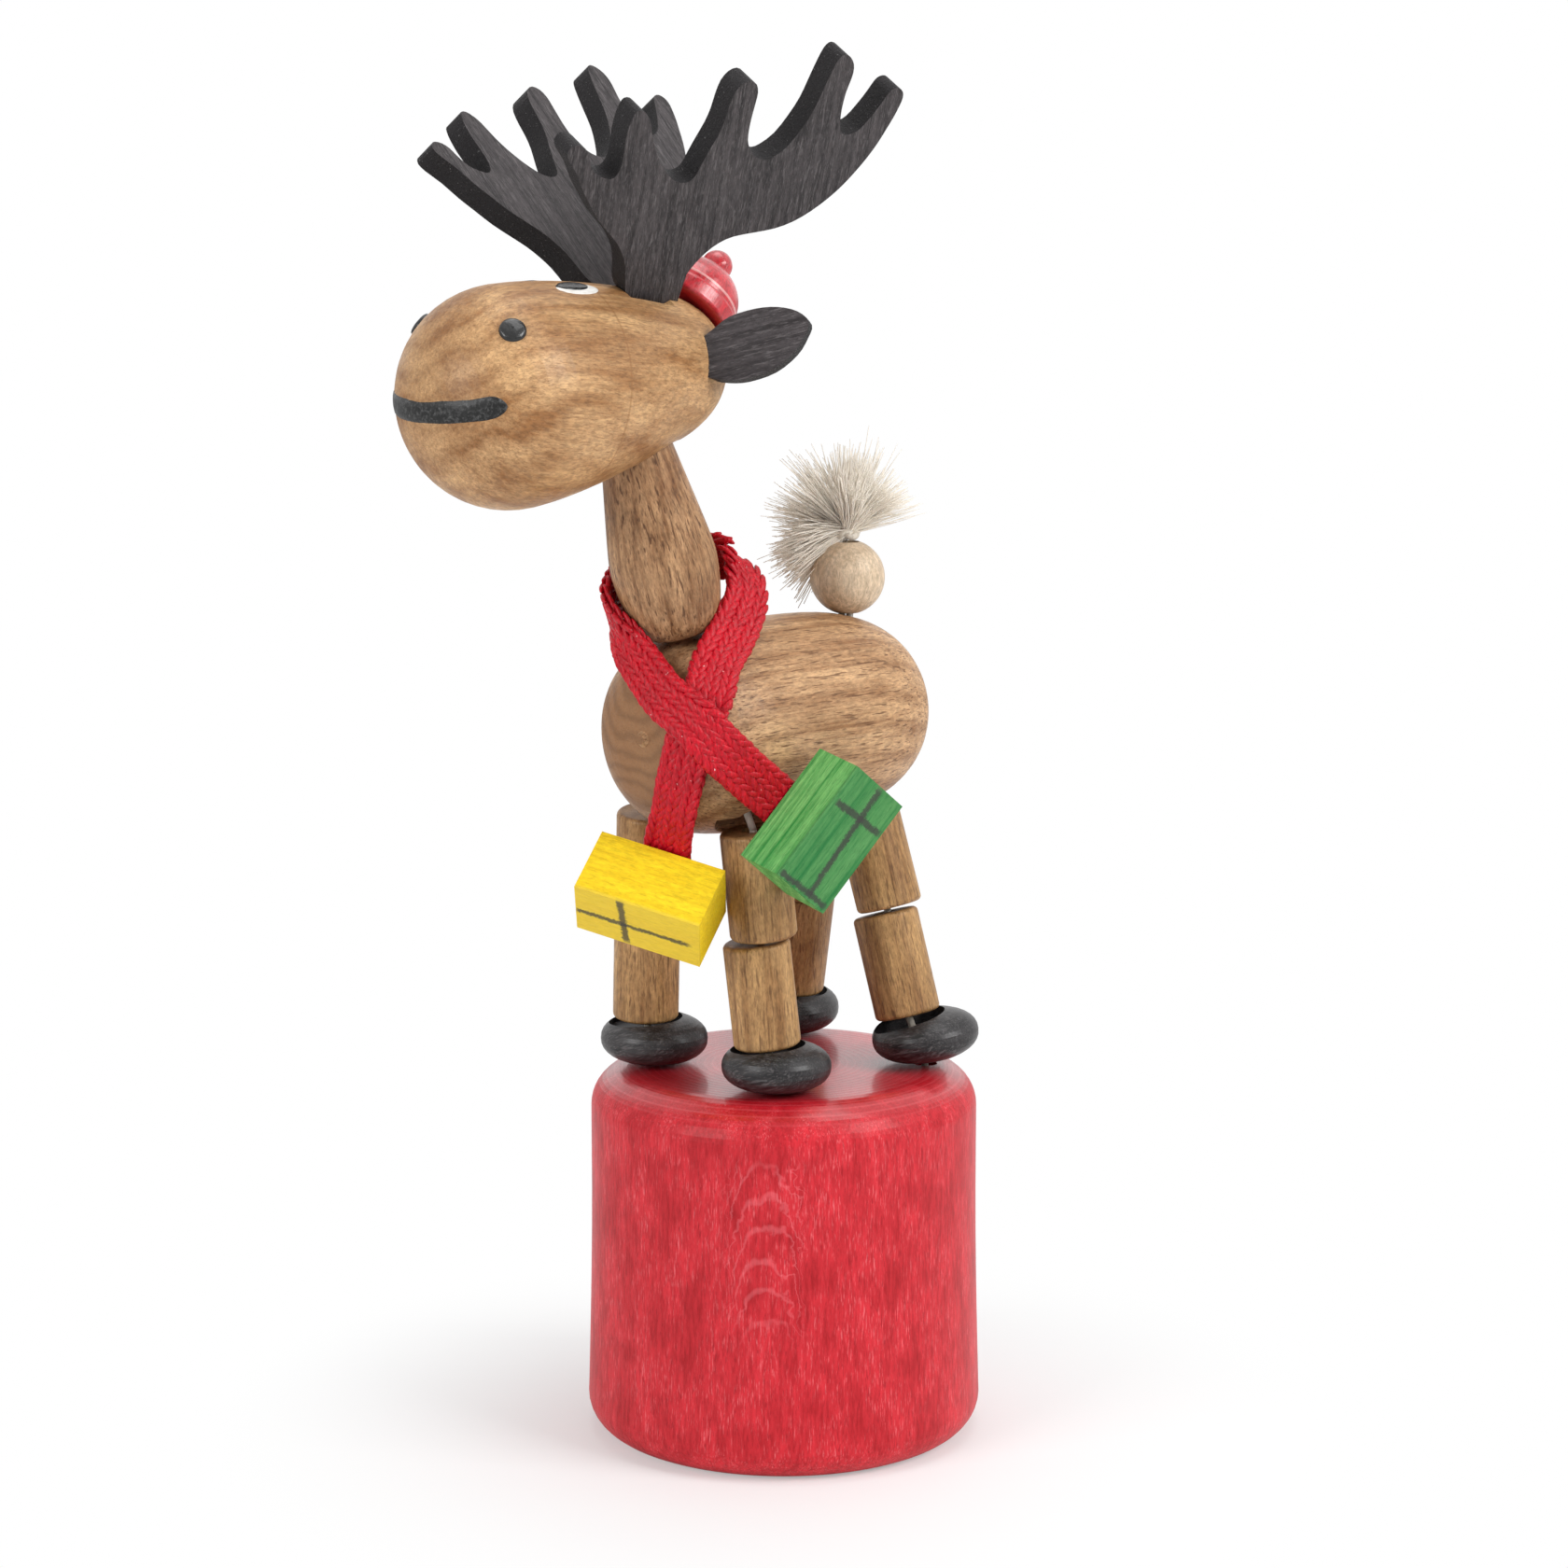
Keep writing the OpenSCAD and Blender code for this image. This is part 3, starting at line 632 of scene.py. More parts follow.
def wood_grain_group():
    """Grain that runs along Z. The vector is in millimetres from the middle of the tree."""
    group, given, out = new_group("wood_grain", (
        ("Vector", VECTOR, None), ("Light", COLOUR, (0.6, 0.4, 0.2, 1)),
        ("Dark", COLOUR, (0.3, 0.15, 0.08, 1)), ("Fleck", COLOUR, (0.12, 0.06, 0.03, 1)),
        ("Ring Spacing", FLOAT, 1.6), ("Ring Strength", FLOAT, 0.3),
        ("Streak Strength", FLOAT, 0.5), ("Blotch Strength", FLOAT, 0.4), ("Fleck Amount", FLOAT, 0.6),
        ("Fleck Size", FLOAT, 1.0), ("Grit", FLOAT, 0.24),
    ), (("Colour", COLOUR), ("Height", FLOAT), ("Pores", FLOAT), ("Rings", FLOAT)))
    vector = given["Vector"]
    # Growth rings round the middle of the tree, which wander
    wander = speckle(group, stretched(group, vector, 0.16, 0.16, 0.03), 1, 2)
    turns = vectors(group, "LENGTH", stretched(group, vector, 1, 1, 0))["Value"]
    turns = maths(group, "DIVIDE", turns, given["Ring Spacing"])
    turns = maths(group, "ADD", turns, times(group, wander, 3.0))
    ring = step_up(group, maths(group, "PINGPONG", turns, 0.5), 0.1, 0.5)
    # Long streaks and wide blotches
    streak = speckle(group, stretched(group, vector, 2.4, 2.4, 0.07), 1, 5, 0.65)
    streak = step_up(group, streak, 0.3, 0.72)
    blotch = speckle(group, stretched(group, vector, 0.24, 0.24, 0.09), 1, 3, 0.55)
    blotch = step_up(group, blotch, 0.3, 0.7)
    tone = maths(group, "ADD", times(group, ring, given["Ring Strength"]),
                 times(group, streak, given["Streak Strength"]))
    tone = maths(group, "ADD", tone, times(group, blotch, given["Blotch Strength"]), clamp=True)
    colour = blend_colour(group, tone, given["Light"], given["Dark"])
    # Short dark flecks, fine pores and grit
    sized = put(group, "ShaderNodeVectorMath", vector, operation="SCALE")
    feed(group, sized.inputs["Scale"], given["Fleck Size"])
    dash = speckle(group, stretched(group, sized.outputs[0], 4.6, 4.6, 0.42), 1, 1, 0.4)
    dash = times(group, step_up(group, dash, 0.6, 0.69), given["Fleck Amount"])
    colour = blend_colour(group, dash, colour, given["Fleck"])
    pores = speckle(group, stretched(group, vector, 9.5, 9.5, 1.3), 1, 2, 0.6)
    pores = step_up(group, pores, 0.5, 0.7)
    colour = blend_colour(group, times(group, pores, 0.42), colour, given["Fleck"])
    grit = speckle(group, stretched(group, vector, 3.6, 3.6, 1.5), 1, 4, 0.7)
    grit = times(group, step_up(group, grit, 0.3, 0.7, -1.0, 1.0), given["Grit"])
    colour = shaded(group, colour, maths(group, "ADD", grit, 1.0))
    height = maths(group, "SUBTRACT", times(group, streak, 0.35), times(group, dash, 0.6))
    height = maths(group, "SUBTRACT", height, times(group, pores, 0.4))
    for label, value in (("Colour", colour), ("Height", height), ("Pores", pores), ("Rings", ring)):
        group.links.new(value, out[label])
    return group


def pen_line_group():
    """A line drawn with a felt pen across a face, with a dry and uneven edge."""
    group, given, out = new_group("pen_line", (
        ("Vector", VECTOR, None), ("Along", FLOAT, 0.0), ("Across", FLOAT, 0.0), ("Slope", FLOAT, 0.0),
        ("Half Width", FLOAT, 0.3), ("Start", FLOAT, 0.0), ("End", FLOAT, 1.0),
    ), (("Mask", FLOAT),))
    wobble = maths(group, "SUBTRACT", speckle(group, given["Vector"], 1.1, 2), 0.5)
    dry = maths(group, "SUBTRACT", speckle(group, given["Vector"], 6.5, 3, 0.6), 0.5)
    off = maths(group, "SUBTRACT", given["Across"], times(group, given["Along"], given["Slope"]))
    off = maths(group, "ABSOLUTE", maths(group, "ADD", off, times(group, wobble, 0.35)))
    off = maths(group, "ADD", off, times(group, dry, 0.55))
    line = step_up(group, maths(group, "SUBTRACT", given["Half Width"], off), -0.06, 0.16)
    begins = step_up(group, maths(group, "SUBTRACT", given["Along"], given["Start"]), -0.1, 0.3)
    ends = step_up(group, maths(group, "SUBTRACT", given["End"], given["Along"]), -0.2, 0.6)
    group.links.new(times(group, line, begins, ends), out["Mask"])
    return group


def cut_edge_group():
    """How far a place lies from the flat faces of a sawn plate, from 0 on a face to 1 on a cut edge."""
    group, given, out = new_group("cut_edge", (
        ("Normal", VECTOR, None), ("Face Way", VECTOR, (0, 0, 1)),
    ), (("Edge", FLOAT),))
    facing = vectors(group, "DOT_PRODUCT", given["Normal"], given["Face Way"])["Value"]
    facing = maths(group, "ABSOLUTE", facing)
    group.links.new(step_up(group, facing, 0.95, 0.6), out["Edge"])
    return group


WOOD_GRAIN = wood_grain_group()
PEN_LINE = pen_line_group()
CUT_EDGE = cut_edge_group()


def use_group(tree, group, **values):
    node = tree.nodes.new("ShaderNodeGroup")
    node.node_tree = group
    for key, value in values.items():
        feed(tree, node.inputs[key.replace("_", " ")], value)
    return node


def new_material(name):
    material = bpy.data.materials.new(name)
    material.use_nodes = True
    return material, material.node_tree, material.node_tree.nodes["Principled BSDF"]


def along_grain(tree, way=UP, middle=(0, 0, 0), shift=(0, 0, 0)):
    """The place in millimetres, turned so that the grain runs along Z."""
    turn = Vector(way).normalized().rotation_difference(UP)
    where = put(tree, "ShaderNodeTexCoord")
    mapping = tree.nodes.new("ShaderNodeMapping")
    mapping.inputs["Scale"].default_value = (PER_MM, PER_MM, PER_MM)
    mapping.inputs["Rotation"].default_value = turn.to_euler("XYZ")
    mapping.inputs["Location"].default_value = Vector(shift) - (turn @ Vector(middle)) * PER_MM
    tree.links.new(where.outputs["Object"], mapping.inputs["Vector"])
    return mapping.outputs[0], where


def facing_way(tree, where, way):
    """1 where the surface faces along a way or against it, and 0 where it faces across it."""
    facing = vectors(tree, "DOT_PRODUCT", where.outputs["Normal"], tuple(Vector(way).normalized()))["Value"]
    return maths(tree, "ABSOLUTE", facing)


def offset_from(tree, where, place):
    """The way from a place, in millimetres."""
    offset = vectors(tree, "SUBTRACT", where.outputs["Object"], tuple(place))[0]
    return stretched(tree, offset, PER_MM, PER_MM, PER_MM)


def measured(tree, offset, way):
    return vectors(tree, "DOT_PRODUCT", offset, tuple(way))["Value"]


def set_look(tree, shader, colour, rough, height, depth, strength, **settings):
    """Colour, roughness and bump of a shader. The settings are values for its other sockets."""
    tree.links.new(colour, shader.inputs["Base Color"])
    tree.links.new(rough, shader.inputs["Roughness"])
    for key, value in settings.items():
        shader.inputs[key.replace("_", " ")].default_value = value
    bump = put(tree, "ShaderNodeBump", strength, depth)
    tree.links.new(height, bump.inputs["Height"])
    tree.links.new(bump.outputs[0], shader.inputs["Normal"])


def rgb(r, g, b):
    return (r, g, b, 1)


def darker(colour, share):
    return tuple(c * share for c in colour[:3]) + (1,)


def turned_wood(name, way, middle, light, dark, fleck, shift, end_dark, rough=0.42, gloss=0.1, ring=0.3,
                spacing=1.6, streak=0.45, blotch=0.4, flecks=0.7, fleck_size=1.0, turned_line=None):
    """Stained or oiled wood, turned or sawn along its grain and darker on its end grain."""
    material, tree, shader = new_material(name)
    vector, where = along_grain(tree, way, middle, shift)
    grain = use_group(
        tree, WOOD_GRAIN, Vector=vector, Light=light, Dark=dark, Fleck=fleck, Ring_Spacing=spacing,
        Ring_Strength=ring, Streak_Strength=streak, Blotch_Strength=blotch, Fleck_Amount=flecks,
        Fleck_Size=fleck_size)
    end = step_up(tree, facing_way(tree, where, way), 0.5, 0.95, 0.0, end_dark)
    end_grain = blend_colour(tree, times(tree, grain.outputs["Rings"], 0.6), dark, darker(dark, 0.62))
    colour = blend_colour(tree, end, grain.outputs["Colour"], end_grain)
    if turned_line is not None:
        lathe = maths(tree, "SUBTRACT", upward(tree, vector), turned_line)
        cut = step_up(tree, maths(tree, "ABSOLUTE", lathe), 0.16, 0.03, 0.0, 0.5)
        colour = blend_colour(tree, cut, colour, dark)
    uneven = step_up(tree, speckle(tree, vector, 0.5, 3), 0.2, 0.8, rough - 0.08, rough + 0.1)
    set_look(tree, shader, colour, uneven, grain.outputs["Height"], 0.06 * MM, 0.6,
             Specular_IOR_Level=0.22, Coat_Weight=gloss, Coat_Roughness=0.3)
    return material


def black_paint(name, rough, coat, pale):
    material, tree, shader = new_material(name)
    vector, _ = along_grain(tree)
    brush = speckle(tree, vector, 3.4, 4, 0.7)
    # Pale specks from the brush noise are painted glints on the black paint
    pale_marks = step_up(tree, brush, 0.45, 0.75)
    colour = blend_colour(tree, pale_marks, rgb(0.005, 0.005, 0.005), rgb(pale, pale, pale))
    set_look(tree, shader, colour, step_up(tree, brush, 0.2, 0.8, rough, rough + 0.15), brush, 0.08 * MM, 0.5,
             Specular_IOR_Level=0.3, Coat_Weight=coat, Coat_Roughness=0.12)
    return material


def white_paint():
    material, tree, shader = new_material("white_paint")
    vector, _ = along_grain(tree)
    cloud = speckle(tree, vector, 1.4, 3)
    colour = blend_colour(tree, step_up(tree, cloud, 0.3, 0.7), rgb(0.9, 0.88, 0.84), rgb(0.78, 0.75, 0.7))
    set_look(tree, shader, colour, step_up(tree, cloud, 0.2, 0.8, 0.25, 0.4), cloud, 0.04 * MM, 0.5)
    return material


def sawn_plate(name, face_way, grain_way, middle, light, dark):
    """Black stained plate with open grain on its faces and rough cut edges, with pale specks painted on the
    edges as glints.
    """
    material, tree, shader = new_material(name)
    vector, where = along_grain(tree, grain_way, middle, (4, 2, 0))
    grain = use_group(
        tree, WOOD_GRAIN, Vector=vector, Light=light, Dark=dark, Fleck=rgb(0.17, 0.155, 0.157),
        Ring_Spacing=1.1, Ring_Strength=0.25, Streak_Strength=0.8, Blotch_Strength=0.2, Fleck_Amount=0.4,
        Fleck_Size=1.2)
    face_way = tuple(Vector(face_way).normalized())
    edge = use_group(tree, CUT_EDGE, Normal=where.outputs["Normal"], Face_Way=face_way).outputs["Edge"]
    crumbs = speckle(tree, vector, 5.5, 4, 0.7)
    edge_glints = step_up(tree, crumbs, 0.6, 0.72)
    # Pale specks on the cut edges are painted glints
    rough_edge = blend_colour(tree, edge_glints, rgb(0.017, 0.015, 0.016), rgb(0.2, 0.19, 0.19))
    colour = blend_colour(tree, edge, grain.outputs["Colour"], rough_edge)
    height = maths(tree, "ADD", grain.outputs["Height"], times(tree, crumbs, times(tree, edge, 2.5)))
    set_look(tree, shader, colour, step_up(tree, crumbs, 0.3, 0.7, 0.42, 0.62), height, 0.12 * MM, 0.8,
             Specular_IOR_Level=0.2)
    return material


FIGURE_PLACE = mm(10.5, -12.2, 22.5)
FIGURE_ACROSS = (0.695, 0.719, 0)
FIGURE_OUT = (0.719, -0.695, 0)
BASE_SHIFT = (3, 9, 0)


def base_figure(tree, vector, where):
    """Where growth rings are cut through to a row of arches, on the near side of the base."""
    offset = offset_from(tree, where, FIGURE_PLACE)
    height = measured(tree, offset, UP)
    wander = times(tree, maths(tree, "SUBTRACT", speckle(tree, vector, 0.7, 4), 0.5), 2.2)
    aside = maths(tree, "ABSOLUTE", maths(tree, "ADD", measured(tree, offset, FIGURE_ACROSS), wander))
    drop = times(tree, maths(tree, "POWER", aside, 3.4), 0.16)
    level = maths(tree, "ADD", maths(tree, "ADD", height, drop), wander)
    arch = step_up(tree, maths(tree, "PINGPONG", maths(tree, "DIVIDE", level, 2.6), 0.5), 0.33, 0.48)
    narrow = step_up(tree, aside, 3.6, 2.4)
    low, high = step_up(tree, height, -13, -6), step_up(tree, height, 5, 3)
    side = step_up(tree, measured(tree, offset, FIGURE_OUT), -4, 0, 0.0, 0.24)
    return times(tree, arch, narrow, low, high, side)


def base_material():
    """Crimson stain in upright grain, glossy and turned in rings on the top."""
    material, tree, shader = new_material("red_stained_base")
    vector, where = along_grain(tree, shift=BASE_SHIFT)
    short = speckle(tree, stretched(tree, vector, 3.2, 3.2, 0.5), 1, 5, 0.7)
    fine = speckle(tree, stretched(tree, vector, 8.5, 8.5, 0.9), 1, 3, 0.65)
    mottle = speckle(tree, stretched(tree, vector, 0.42, 0.42, 0.2), 1, 4, 0.6)
    pores = speckle(tree, stretched(tree, vector, 7.5, 7.5, 1.1), 1, 1)
    tone = maths(tree, "ADD", step_up(tree, short, 0.34, 0.7, 0.0, 0.55),
                 step_up(tree, mottle, 0.34, 0.68, 0.0, 0.45))
    pale = times(tree, step_up(tree, fine, 0.52, 0.72), step_up(tree, mottle, 0.62, 0.4), 0.6)
    top = step_up(tree, upward(tree, where.outputs["Normal"]), 0.45, 0.98)
    radius = vectors(tree, "DISTANCE", stretched(tree, vector, 1, 1, 0), BASE_SHIFT)["Value"]
    lathe = maths(tree, "PINGPONG", times(tree, radius, 1.6), 0.5)
    # Fine turned rings on the top, worn paler
    pale_marks = times(tree, step_up(tree, lathe, 0.28, 0.5), top, 0.3)
    colour = blend_colour(tree, tone, rgb(0.68, 0.024, 0.038), rgb(0.33, 0.002, 0.007))
    for share, over in (
        (pale, rgb(0.86, 0.21, 0.23)),
        (step_up(tree, pores, 0.62, 0.72, 0.0, 0.6), rgb(0.3, 0.003, 0.01)),
        (base_figure(tree, vector, where), rgb(0.9, 0.22, 0.25)),
        (times(tree, top, 0.35), rgb(0.42, 0.004, 0.012)),
        (pale_marks, rgb(0.8, 0.12, 0.14)),
    ):
        colour = blend_colour(tree, share, colour, over)
    height = maths(tree, "ADD", times(tree, short, 0.5), times(tree, fine, 0.4))
    height = maths(tree, "ADD", height, times(tree, lathe, top, 0.5))
    tree.links.new(step_up(tree, top, 0, 1, 0.12, 0.75), shader.inputs["Coat Weight"])
    set_look(tree, shader, colour, step_up(tree, top, 0, 1, 0.46, 0.3), height, 0.09 * MM, 0.7,
             Specular_IOR_Level=0.2, Coat_Roughness=0.16)
    return material


HAT_FOOT = mm(0, -10.9, 93.2)
HAT_WAY = Vector((0, math.sin(math.radians(45)), math.cos(math.radians(45))))
HAT_LINE_HEIGHT = 1.95


def hat_material():
    """Red stain with a pale line where the hat's brim is turned."""
    material, tree, shader = new_material("red_stained_hat")
    vector, where = along_grain(tree, HAT_WAY, HAT_FOOT, (1, 1, 0))
    dark = rgb(0.5, 0.012, 0.022)
    grain = use_group(
        tree, WOOD_GRAIN, Vector=vector, Light=rgb(0.72, 0.045, 0.06), Dark=dark,
        Fleck=rgb(0.3, 0.01, 0.018), Ring_Spacing=2.1, Ring_Strength=0.25, Streak_Strength=0.5,
        Blotch_Strength=0.3, Fleck_Amount=0.3, Fleck_Size=0.8)
    end = step_up(tree, facing_way(tree, where, HAT_WAY), 0.6, 0.98, 0.0, 0.7)
    colour = blend_colour(tree, end, grain.outputs["Colour"], dark)
    groove = maths(tree, "ABSOLUTE", maths(tree, "SUBTRACT", upward(tree, vector), HAT_LINE_HEIGHT))
    groove = times(tree, step_up(tree, groove, 0.14, 0.05), 0.85)
    colour = blend_colour(tree, groove, colour, rgb(0.85, 0.42, 0.4))
    set_look(tree, shader, colour, step_up(tree, grain.outputs["Pores"], 0, 1, 0.28, 0.48),
             grain.outputs["Height"], 0.05 * MM, 0.6, Coat_Weight=0.6, Coat_Roughness=0.16)
    return material


PARCEL_WIDE = 5.7


def parcel_material(name, edge, long_way, second_way, light, dark, painted_shade_colour, lines):
    """A stained block with ribbon lines drawn on its second face, which is also painted darker as painted
    shade.
    """
    material, tree, shader = new_material(name)
    vector, where = along_grain(tree, long_way, edge, (5, 4, 0))
    grain = use_group(
        tree, WOOD_GRAIN, Vector=vector, Light=light, Dark=dark, Fleck=darker(dark, 0.75), Ring_Spacing=1.3,
        Ring_Strength=0.25, Streak_Strength=0.7, Blotch_Strength=0.3, Fleck_Amount=0.3, Fleck_Size=1.3,
        Grit=0.1)
    offset = offset_from(tree, where, edge)
    along = measured(tree, offset, long_way)
    third = measured(tree, offset, long_way.cross(second_way))
    on_face = step_up(tree, measured(tree, offset, second_way), PARCEL_WIDE - 0.35, PARCEL_WIDE - 0.1)
    # Painted shade: the face with the lines is blended towards a darker colour
    colour = blend_colour(tree, times(tree, on_face, 0.62), grain.outputs["Colour"], painted_shade_colour)
    for runs_along, place, slope, half, start, end in lines:
        first, other = (along, third) if runs_along else (third, along)
        line = use_group(
            tree, PEN_LINE, Vector=vector, Along=first, Across=maths(tree, "SUBTRACT", other, place),
            Slope=slope, Half_Width=half, Start=start, End=end)
        mask = times(tree, line.outputs["Mask"], times(tree, on_face, 0.86))
        colour = blend_colour(tree, mask, colour, rgb(0.045, 0.045, 0.04))
    set_look(tree, shader, colour, step_up(tree, grain.outputs["Pores"], 0, 1, 0.5, 0.65),
             grain.outputs["Height"], 0.06 * MM, 0.7, Specular_IOR_Level=0.2)
    return material


def braid_material():
    material, tree, shader = new_material("red_yarn")
    vector, _ = along_grain(tree)
    lay = speckle(tree, stretched(tree, vector, 6, 6, 2.2), 1, 3, 0.6)
    shade = speckle(tree, vector, 0.5, 2)
    yarn_glints = speckle(tree, vector, 3.1, 2, 0.4)
    bright = step_up(tree, lay, 0.3, 0.75)
    colour = blend_colour(tree, bright, rgb(0.36, 0.002, 0.01), rgb(0.72, 0.008, 0.025))
    colour = blend_colour(tree, step_up(tree, shade, 0.35, 0.75, 0, 0.4), colour, rgb(0.3, 0.003, 0.01))
    # Sparse pale pink specks painted as glints on the yarn
    colour = blend_colour(tree, step_up(tree, yarn_glints, 0.755, 0.79), colour, rgb(0.85, 0.6, 0.6))
    set_look(tree, shader, colour, step_up(tree, lay, 0.2, 0.8, 0.28, 0.42), lay, 0.07 * MM, 0.8,
             Specular_IOR_Level=0.25)
    return material


def thread_material(name, light, dark, sheen):
    material, tree, shader = new_material(name)
    vector, _ = along_grain(tree)
    twist = speckle(tree, stretched(tree, vector, 7, 7, 1.5), 1, 3, 0.6)
    shade = speckle(tree, vector, 0.8, 2)
    colour = blend_colour(tree, step_up(tree, twist, 0.3, 0.75), light, dark)
    colour = blend_colour(tree, step_up(tree, shade, 0.4, 0.8, 0, 0.35), colour, dark)
    set_look(tree, shader, colour, step_up(tree, twist, 0.2, 0.8, 0.75, 0.95), twist, 0.06 * MM, 0.8,
             Sheen_Weight=sheen)
    return material


def spring_material():
    material, tree, shader = new_material("spring_wire")
    vector, _ = along_grain(tree)
    drawn = speckle(tree, stretched(tree, vector, 3, 3, 9), 1, 3, 0.6)
    colour = blend_colour(tree, step_up(tree, drawn, 0.3, 0.7), rgb(0.62, 0.62, 0.64), rgb(0.42, 0.42, 0.44))
    set_look(tree, shader, colour, step_up(tree, drawn, 0.2, 0.8, 0.25, 0.42), drawn, 0.03 * MM, 0.5,
             Metallic=1.0)
    return material


# Dressing the pieces

def dress(piece, material):
    target = nodes[piece] if isinstance(piece, str) else piece
    if target.material_slots:
        for slot in target.material_slots:
            slot.material = material
    else:
        target.data.materials.append(material)


def dress_corner(number, corner):
    _, ankle, _, hip = THREAD_PLACES[corner]
    for part, drop in (("lower_leg", 0), ("upper_leg", 17)):
        dress(corner + "_" + part, turned_wood(
            "brown_dowel_" + corner + "_" + part, Vector(hip) - Vector(ankle), mm(*ankle),
            light=rgb(0.57, 0.34, 0.145), dark=rgb(0.23, 0.11, 0.038), fleck=rgb(0.1, 0.042, 0.016),
            shift=(4 + number, 2.5, drop + 29 * number), end_dark=0.5, flecks=0.6, fleck_size=1.2))
    dress(corner + "_hoof", turned_wood(
        "black_stained_hoof_" + corner, (0.9, 0.3, 0.3), mm(*ankle), light=rgb(0.045, 0.041, 0.042),
        dark=rgb(0.005, 0.004, 0.005), fleck=rgb(0.13, 0.12, 0.122), shift=(3, 2, 13 * number), end_dark=0.3,
        rough=0.4, gloss=0.35, streak=0.7, flecks=0.4))


ANTLER_LEAN = math.radians(33)


def dress_nodes():
    dress("base", base_material())
    dress("hat", hat_material())
    dress("body", turned_wood(
        "brown_stained_body", (0, 1, 0), mm(0, -1.4, 59.85), light=rgb(0.7, 0.44, 0.235),
        dark=rgb(0.27, 0.13, 0.055), fleck=rgb(0.12, 0.048, 0.018), shift=(1, 7, 0), end_dark=0.9,
        flecks=0.75, fleck_size=1.35))
    dress("neck", turned_wood(
        "brown_stained_neck", NECK_WAY, NECK_FOOT, light=rgb(0.56, 0.33, 0.17), dark=rgb(0.2, 0.09, 0.036),
        fleck=rgb(0.09, 0.036, 0.015), shift=(5, 3, 11), end_dark=0.3, streak=0.65, flecks=0.8,
        fleck_size=1.15))
    for number, corner in enumerate(CORNERS):
        dress_corner(number, corner)
    dress("head", turned_wood(
        "light_brown_head", (0, 1, -0.1), mm(0, -24, 88), light=rgb(0.66, 0.41, 0.2),
        dark=rgb(0.27, 0.12, 0.04), fleck=rgb(0.17, 0.07, 0.025), shift=(2, 8, 0), end_dark=0.3, ring=0.3,
        spacing=2.4, flecks=0.3, streak=0.35, blotch=0.55, fleck_size=1.6, gloss=0.18, rough=0.46,
        turned_line=0.4))
    for side, sign in (("left", 1), ("right", -1)):
        plate = (math.cos(ANTLER_LEAN) * sign, 0, -math.sin(ANTLER_LEAN))
        up = (math.sin(ANTLER_LEAN) * sign, -0.25, math.cos(ANTLER_LEAN))
        dress(side + "_antler", sawn_plate(
            "black_stained_antler_" + side, plate, up, mm(2.5 * sign, -19, 94),
            rgb(0.082, 0.072, 0.074), rgb(0.024, 0.021, 0.022)))
        dress(side + "_ear", sawn_plate(
            "black_stained_ear_" + side, (0.6 * sign, -0.77, 0.2), (0.73 * sign, 0.63, 0.25),
            mm(4.5 * sign, -13.6, 89.7), rgb(0.078, 0.068, 0.071), rgb(0.024, 0.02, 0.021)))
    pale = dict(light=rgb(0.74, 0.59, 0.43), dark=rgb(0.56, 0.42, 0.28), fleck=rgb(0.42, 0.29, 0.18))
    dress("tail_bead", turned_wood(
        "pale_bead", UP, TAIL_MIDDLE, shift=(3, 2, 0), end_dark=0.2, flecks=0.15, ring=0.3, **pale))
    dress("press_button", turned_wood(
        "pale_button", (1, 0, 0), (0, 0, 0), shift=(20, 4, 0), end_dark=0.2, flecks=0.2, ring=0.4, **pale))
    # The third colour of each parcel is the painted shade of its face with the lines
    # Each line: whether it runs along the parcel, its place, slope, half width, start and end
    dress("yellow_parcel", parcel_material(
        "yellow_stained_parcel", YELLOW_EDGE, YELLOW_LONG, YELLOW_FRONT,
        rgb(0.95, 0.69, 0.02), rgb(0.84, 0.55, 0.012), rgb(0.74, 0.55, 0.06), (
            (True, 3.15, 0.0, 0.3, -5.3, 4.6),
            (False, -1.4, 0.075, 0.34, 0.0, 5.7),
        )))
    dress("green_parcel", parcel_material(
        "green_stained_parcel", GREEN_EDGE, GREEN_LONG, GREEN_OUT,
        rgb(0.25, 0.6, 0.19), rgb(0.03, 0.25, 0.05), rgb(0.012, 0.12, 0.035), (
            (True, 3.27, -0.05, 0.3, -5.0, 5.3),
            (False, 2.1, 0.05, 0.34, 0.3, 5.7),
            (False, -4.9, 0.03, 0.3, 0.0, 5.7),
        )))


# Floor and light

LIT_PLACE = mm(0, -5, 60)
FLOOR_HALF = 3000
# The floor's shadow is seen up to the far distance from the middle, in metres
SHADOW_NEAR = 0.016
SHADOW_FAR = 0.05
WHITE = rgb(1, 1, 1)
ROOM_LIGHT = 0.32
# Each lamp: its name, its way by shares to the right, towards the camera and up, its distance and its two
# sides in metres, and its power in watts
LAMPS = (
    ("key_lamp", (0.9, 0.5, 0.65), 0.55, (0.28, 0.28), 2.15),
    ("fill_lamp", (-0.85, 0.75, 0.45), 0.6, (0.3, 0.3), 1.7),
    ("top_lamp", (0.1, -0.1, 1.0), 0.5, (0.4, 0.3), 1.0),
)


def add_lamp(name, shares, distance, size, power):
    right, near, up = shares
    way = (SIDE_WAY * right - AHEAD_WAY * near + UP * up).normalized()
    data = bpy.data.lights.new(name, "AREA")
    data.shape = "RECTANGLE"
    data.size, data.size_y = size
    data.energy = power
    lamp = bpy.data.objects.new(name, data)
    lamp.location = LIT_PLACE + way * distance
    lamp.rotation_euler = (-way).to_track_quat("-Z", "Y").to_euler()
    bpy.context.collection.objects.link(lamp)


def mix_shaders(tree, share, first, second, output):
    mixed = put(tree, "ShaderNodeMixShader", share, first.outputs[0], second.outputs[0])
    tree.links.new(mixed.outputs[0], tree.nodes[output].inputs["Surface"])


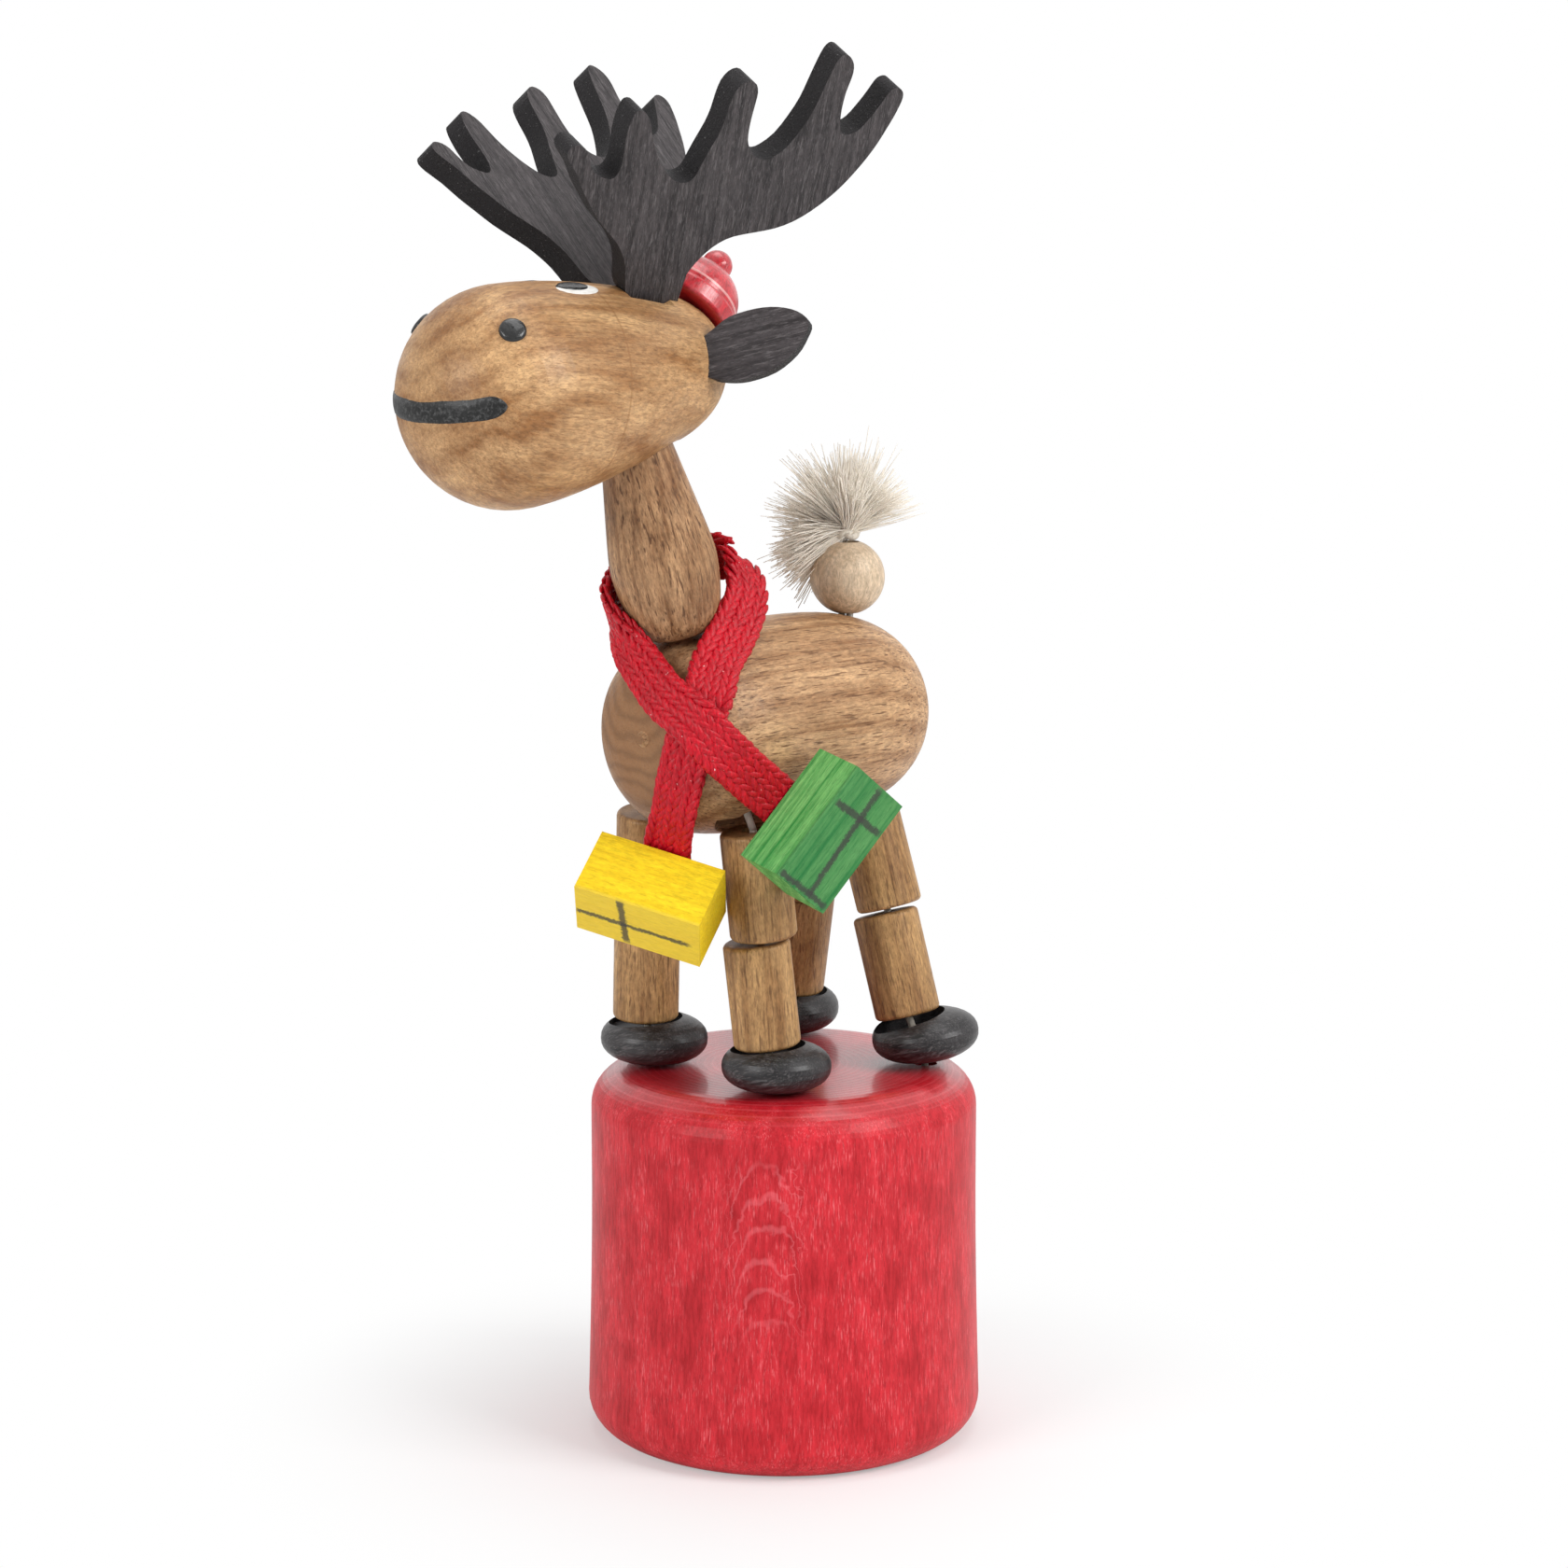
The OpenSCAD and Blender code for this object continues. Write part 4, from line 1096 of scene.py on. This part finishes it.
def make_floor():
    corners = [mm(x * FLOOR_HALF, y * FLOOR_HALF, 0) for x, y in ((-1, -1), (1, -1), (1, 1), (-1, 1))]
    floor = make_piece("floor", corners, [(0, 1, 2, 3)], smooth=False)
    material, tree, shader = new_material("white_floor")
    shader.inputs["Base Color"].default_value = rgb(0.88, 0.88, 0.88)
    shader.inputs["Roughness"].default_value = 0.9
    glow = put(tree, "ShaderNodeEmission", WHITE, 1.0)
    rays = tree.nodes.new("ShaderNodeLightPath").outputs
    away = vectors(tree, "LENGTH", put(tree, "ShaderNodeTexCoord").outputs["Object"])["Value"]
    clear = step_up(tree, away, SHADOW_NEAR, SHADOW_FAR, 0.35, 1.0)
    mix_shaders(tree, times(tree, rays["Is Camera Ray"], clear), shader, glow, "Material Output")
    floor.data.materials.append(material)


def make_world():
    """White to the camera and in reflections, and a softer light on everything else."""
    world = bpy.data.worlds.new("studio")
    bpy.context.scene.world = world
    world.use_nodes = True
    tree = world.node_tree
    plain = tree.nodes["Background"]
    plain.inputs["Color"].default_value = WHITE
    plain.inputs["Strength"].default_value = ROOM_LIGHT
    bright = put(tree, "ShaderNodeBackground", WHITE, 1.0)
    rays = tree.nodes.new("ShaderNodeLightPath").outputs
    seen = maths(tree, "MAXIMUM", rays["Is Glossy Ray"], rays["Is Transmission Ray"])
    seen = maths(tree, "MAXIMUM", seen, rays["Is Camera Ray"])
    mix_shaders(tree, seen, plain, bright, "World Output")


# Building

COTTON = thread_material("cotton_thread", rgb(0.82, 0.77, 0.68), rgb(0.62, 0.55, 0.45), 0.3)
FRAYED = thread_material("frayed_thread", rgb(0.98, 0.92, 0.82), rgb(0.94, 0.85, 0.72), 0.9)
PAINTS = {
    "black": black_paint("black_gloss_paint", 0.12, 0.45, 0.02),
    "white": white_paint(),
    # The mouth's paler specks are painted glints
    "mouth": black_paint("black_mouth_paint", 0.35, 0.1, 0.09),
}
BUTTON_KNOTS = {
    "front_left": mm(5.26, -5.76, 1.9), "front_right": mm(-5.52, -5.51, 1.9),
    "rear_left": mm(5.45, 5.58, 1.9), "rear_right": mm(-5.48, 5.55, 1.9),
}
BUTTON_KNOT_RADIUS = 0.28 * MM

set_camera()
dress(make_braid(), braid_material())
for thread in make_threads():
    dress(thread, COTTON)
dress(make_tuft(), FRAYED)
dress(make_knot("tail_knot", TAIL_KNOT_PLACE, TAIL_KNOT_RADIUS, "tail"), COTTON)
for corner, place in BUTTON_KNOTS.items():
    dress(make_knot(corner + "_knot", place, BUTTON_KNOT_RADIUS, "button"), COTTON)
for piece, paint in make_face():
    dress(piece, PAINTS[paint])
dress(make_spring(), spring_material())
dress_nodes()
make_floor()
make_world()
for lamp in LAMPS:
    add_lamp(*lamp)

bpy.context.scene.view_settings.view_transform = "Standard"
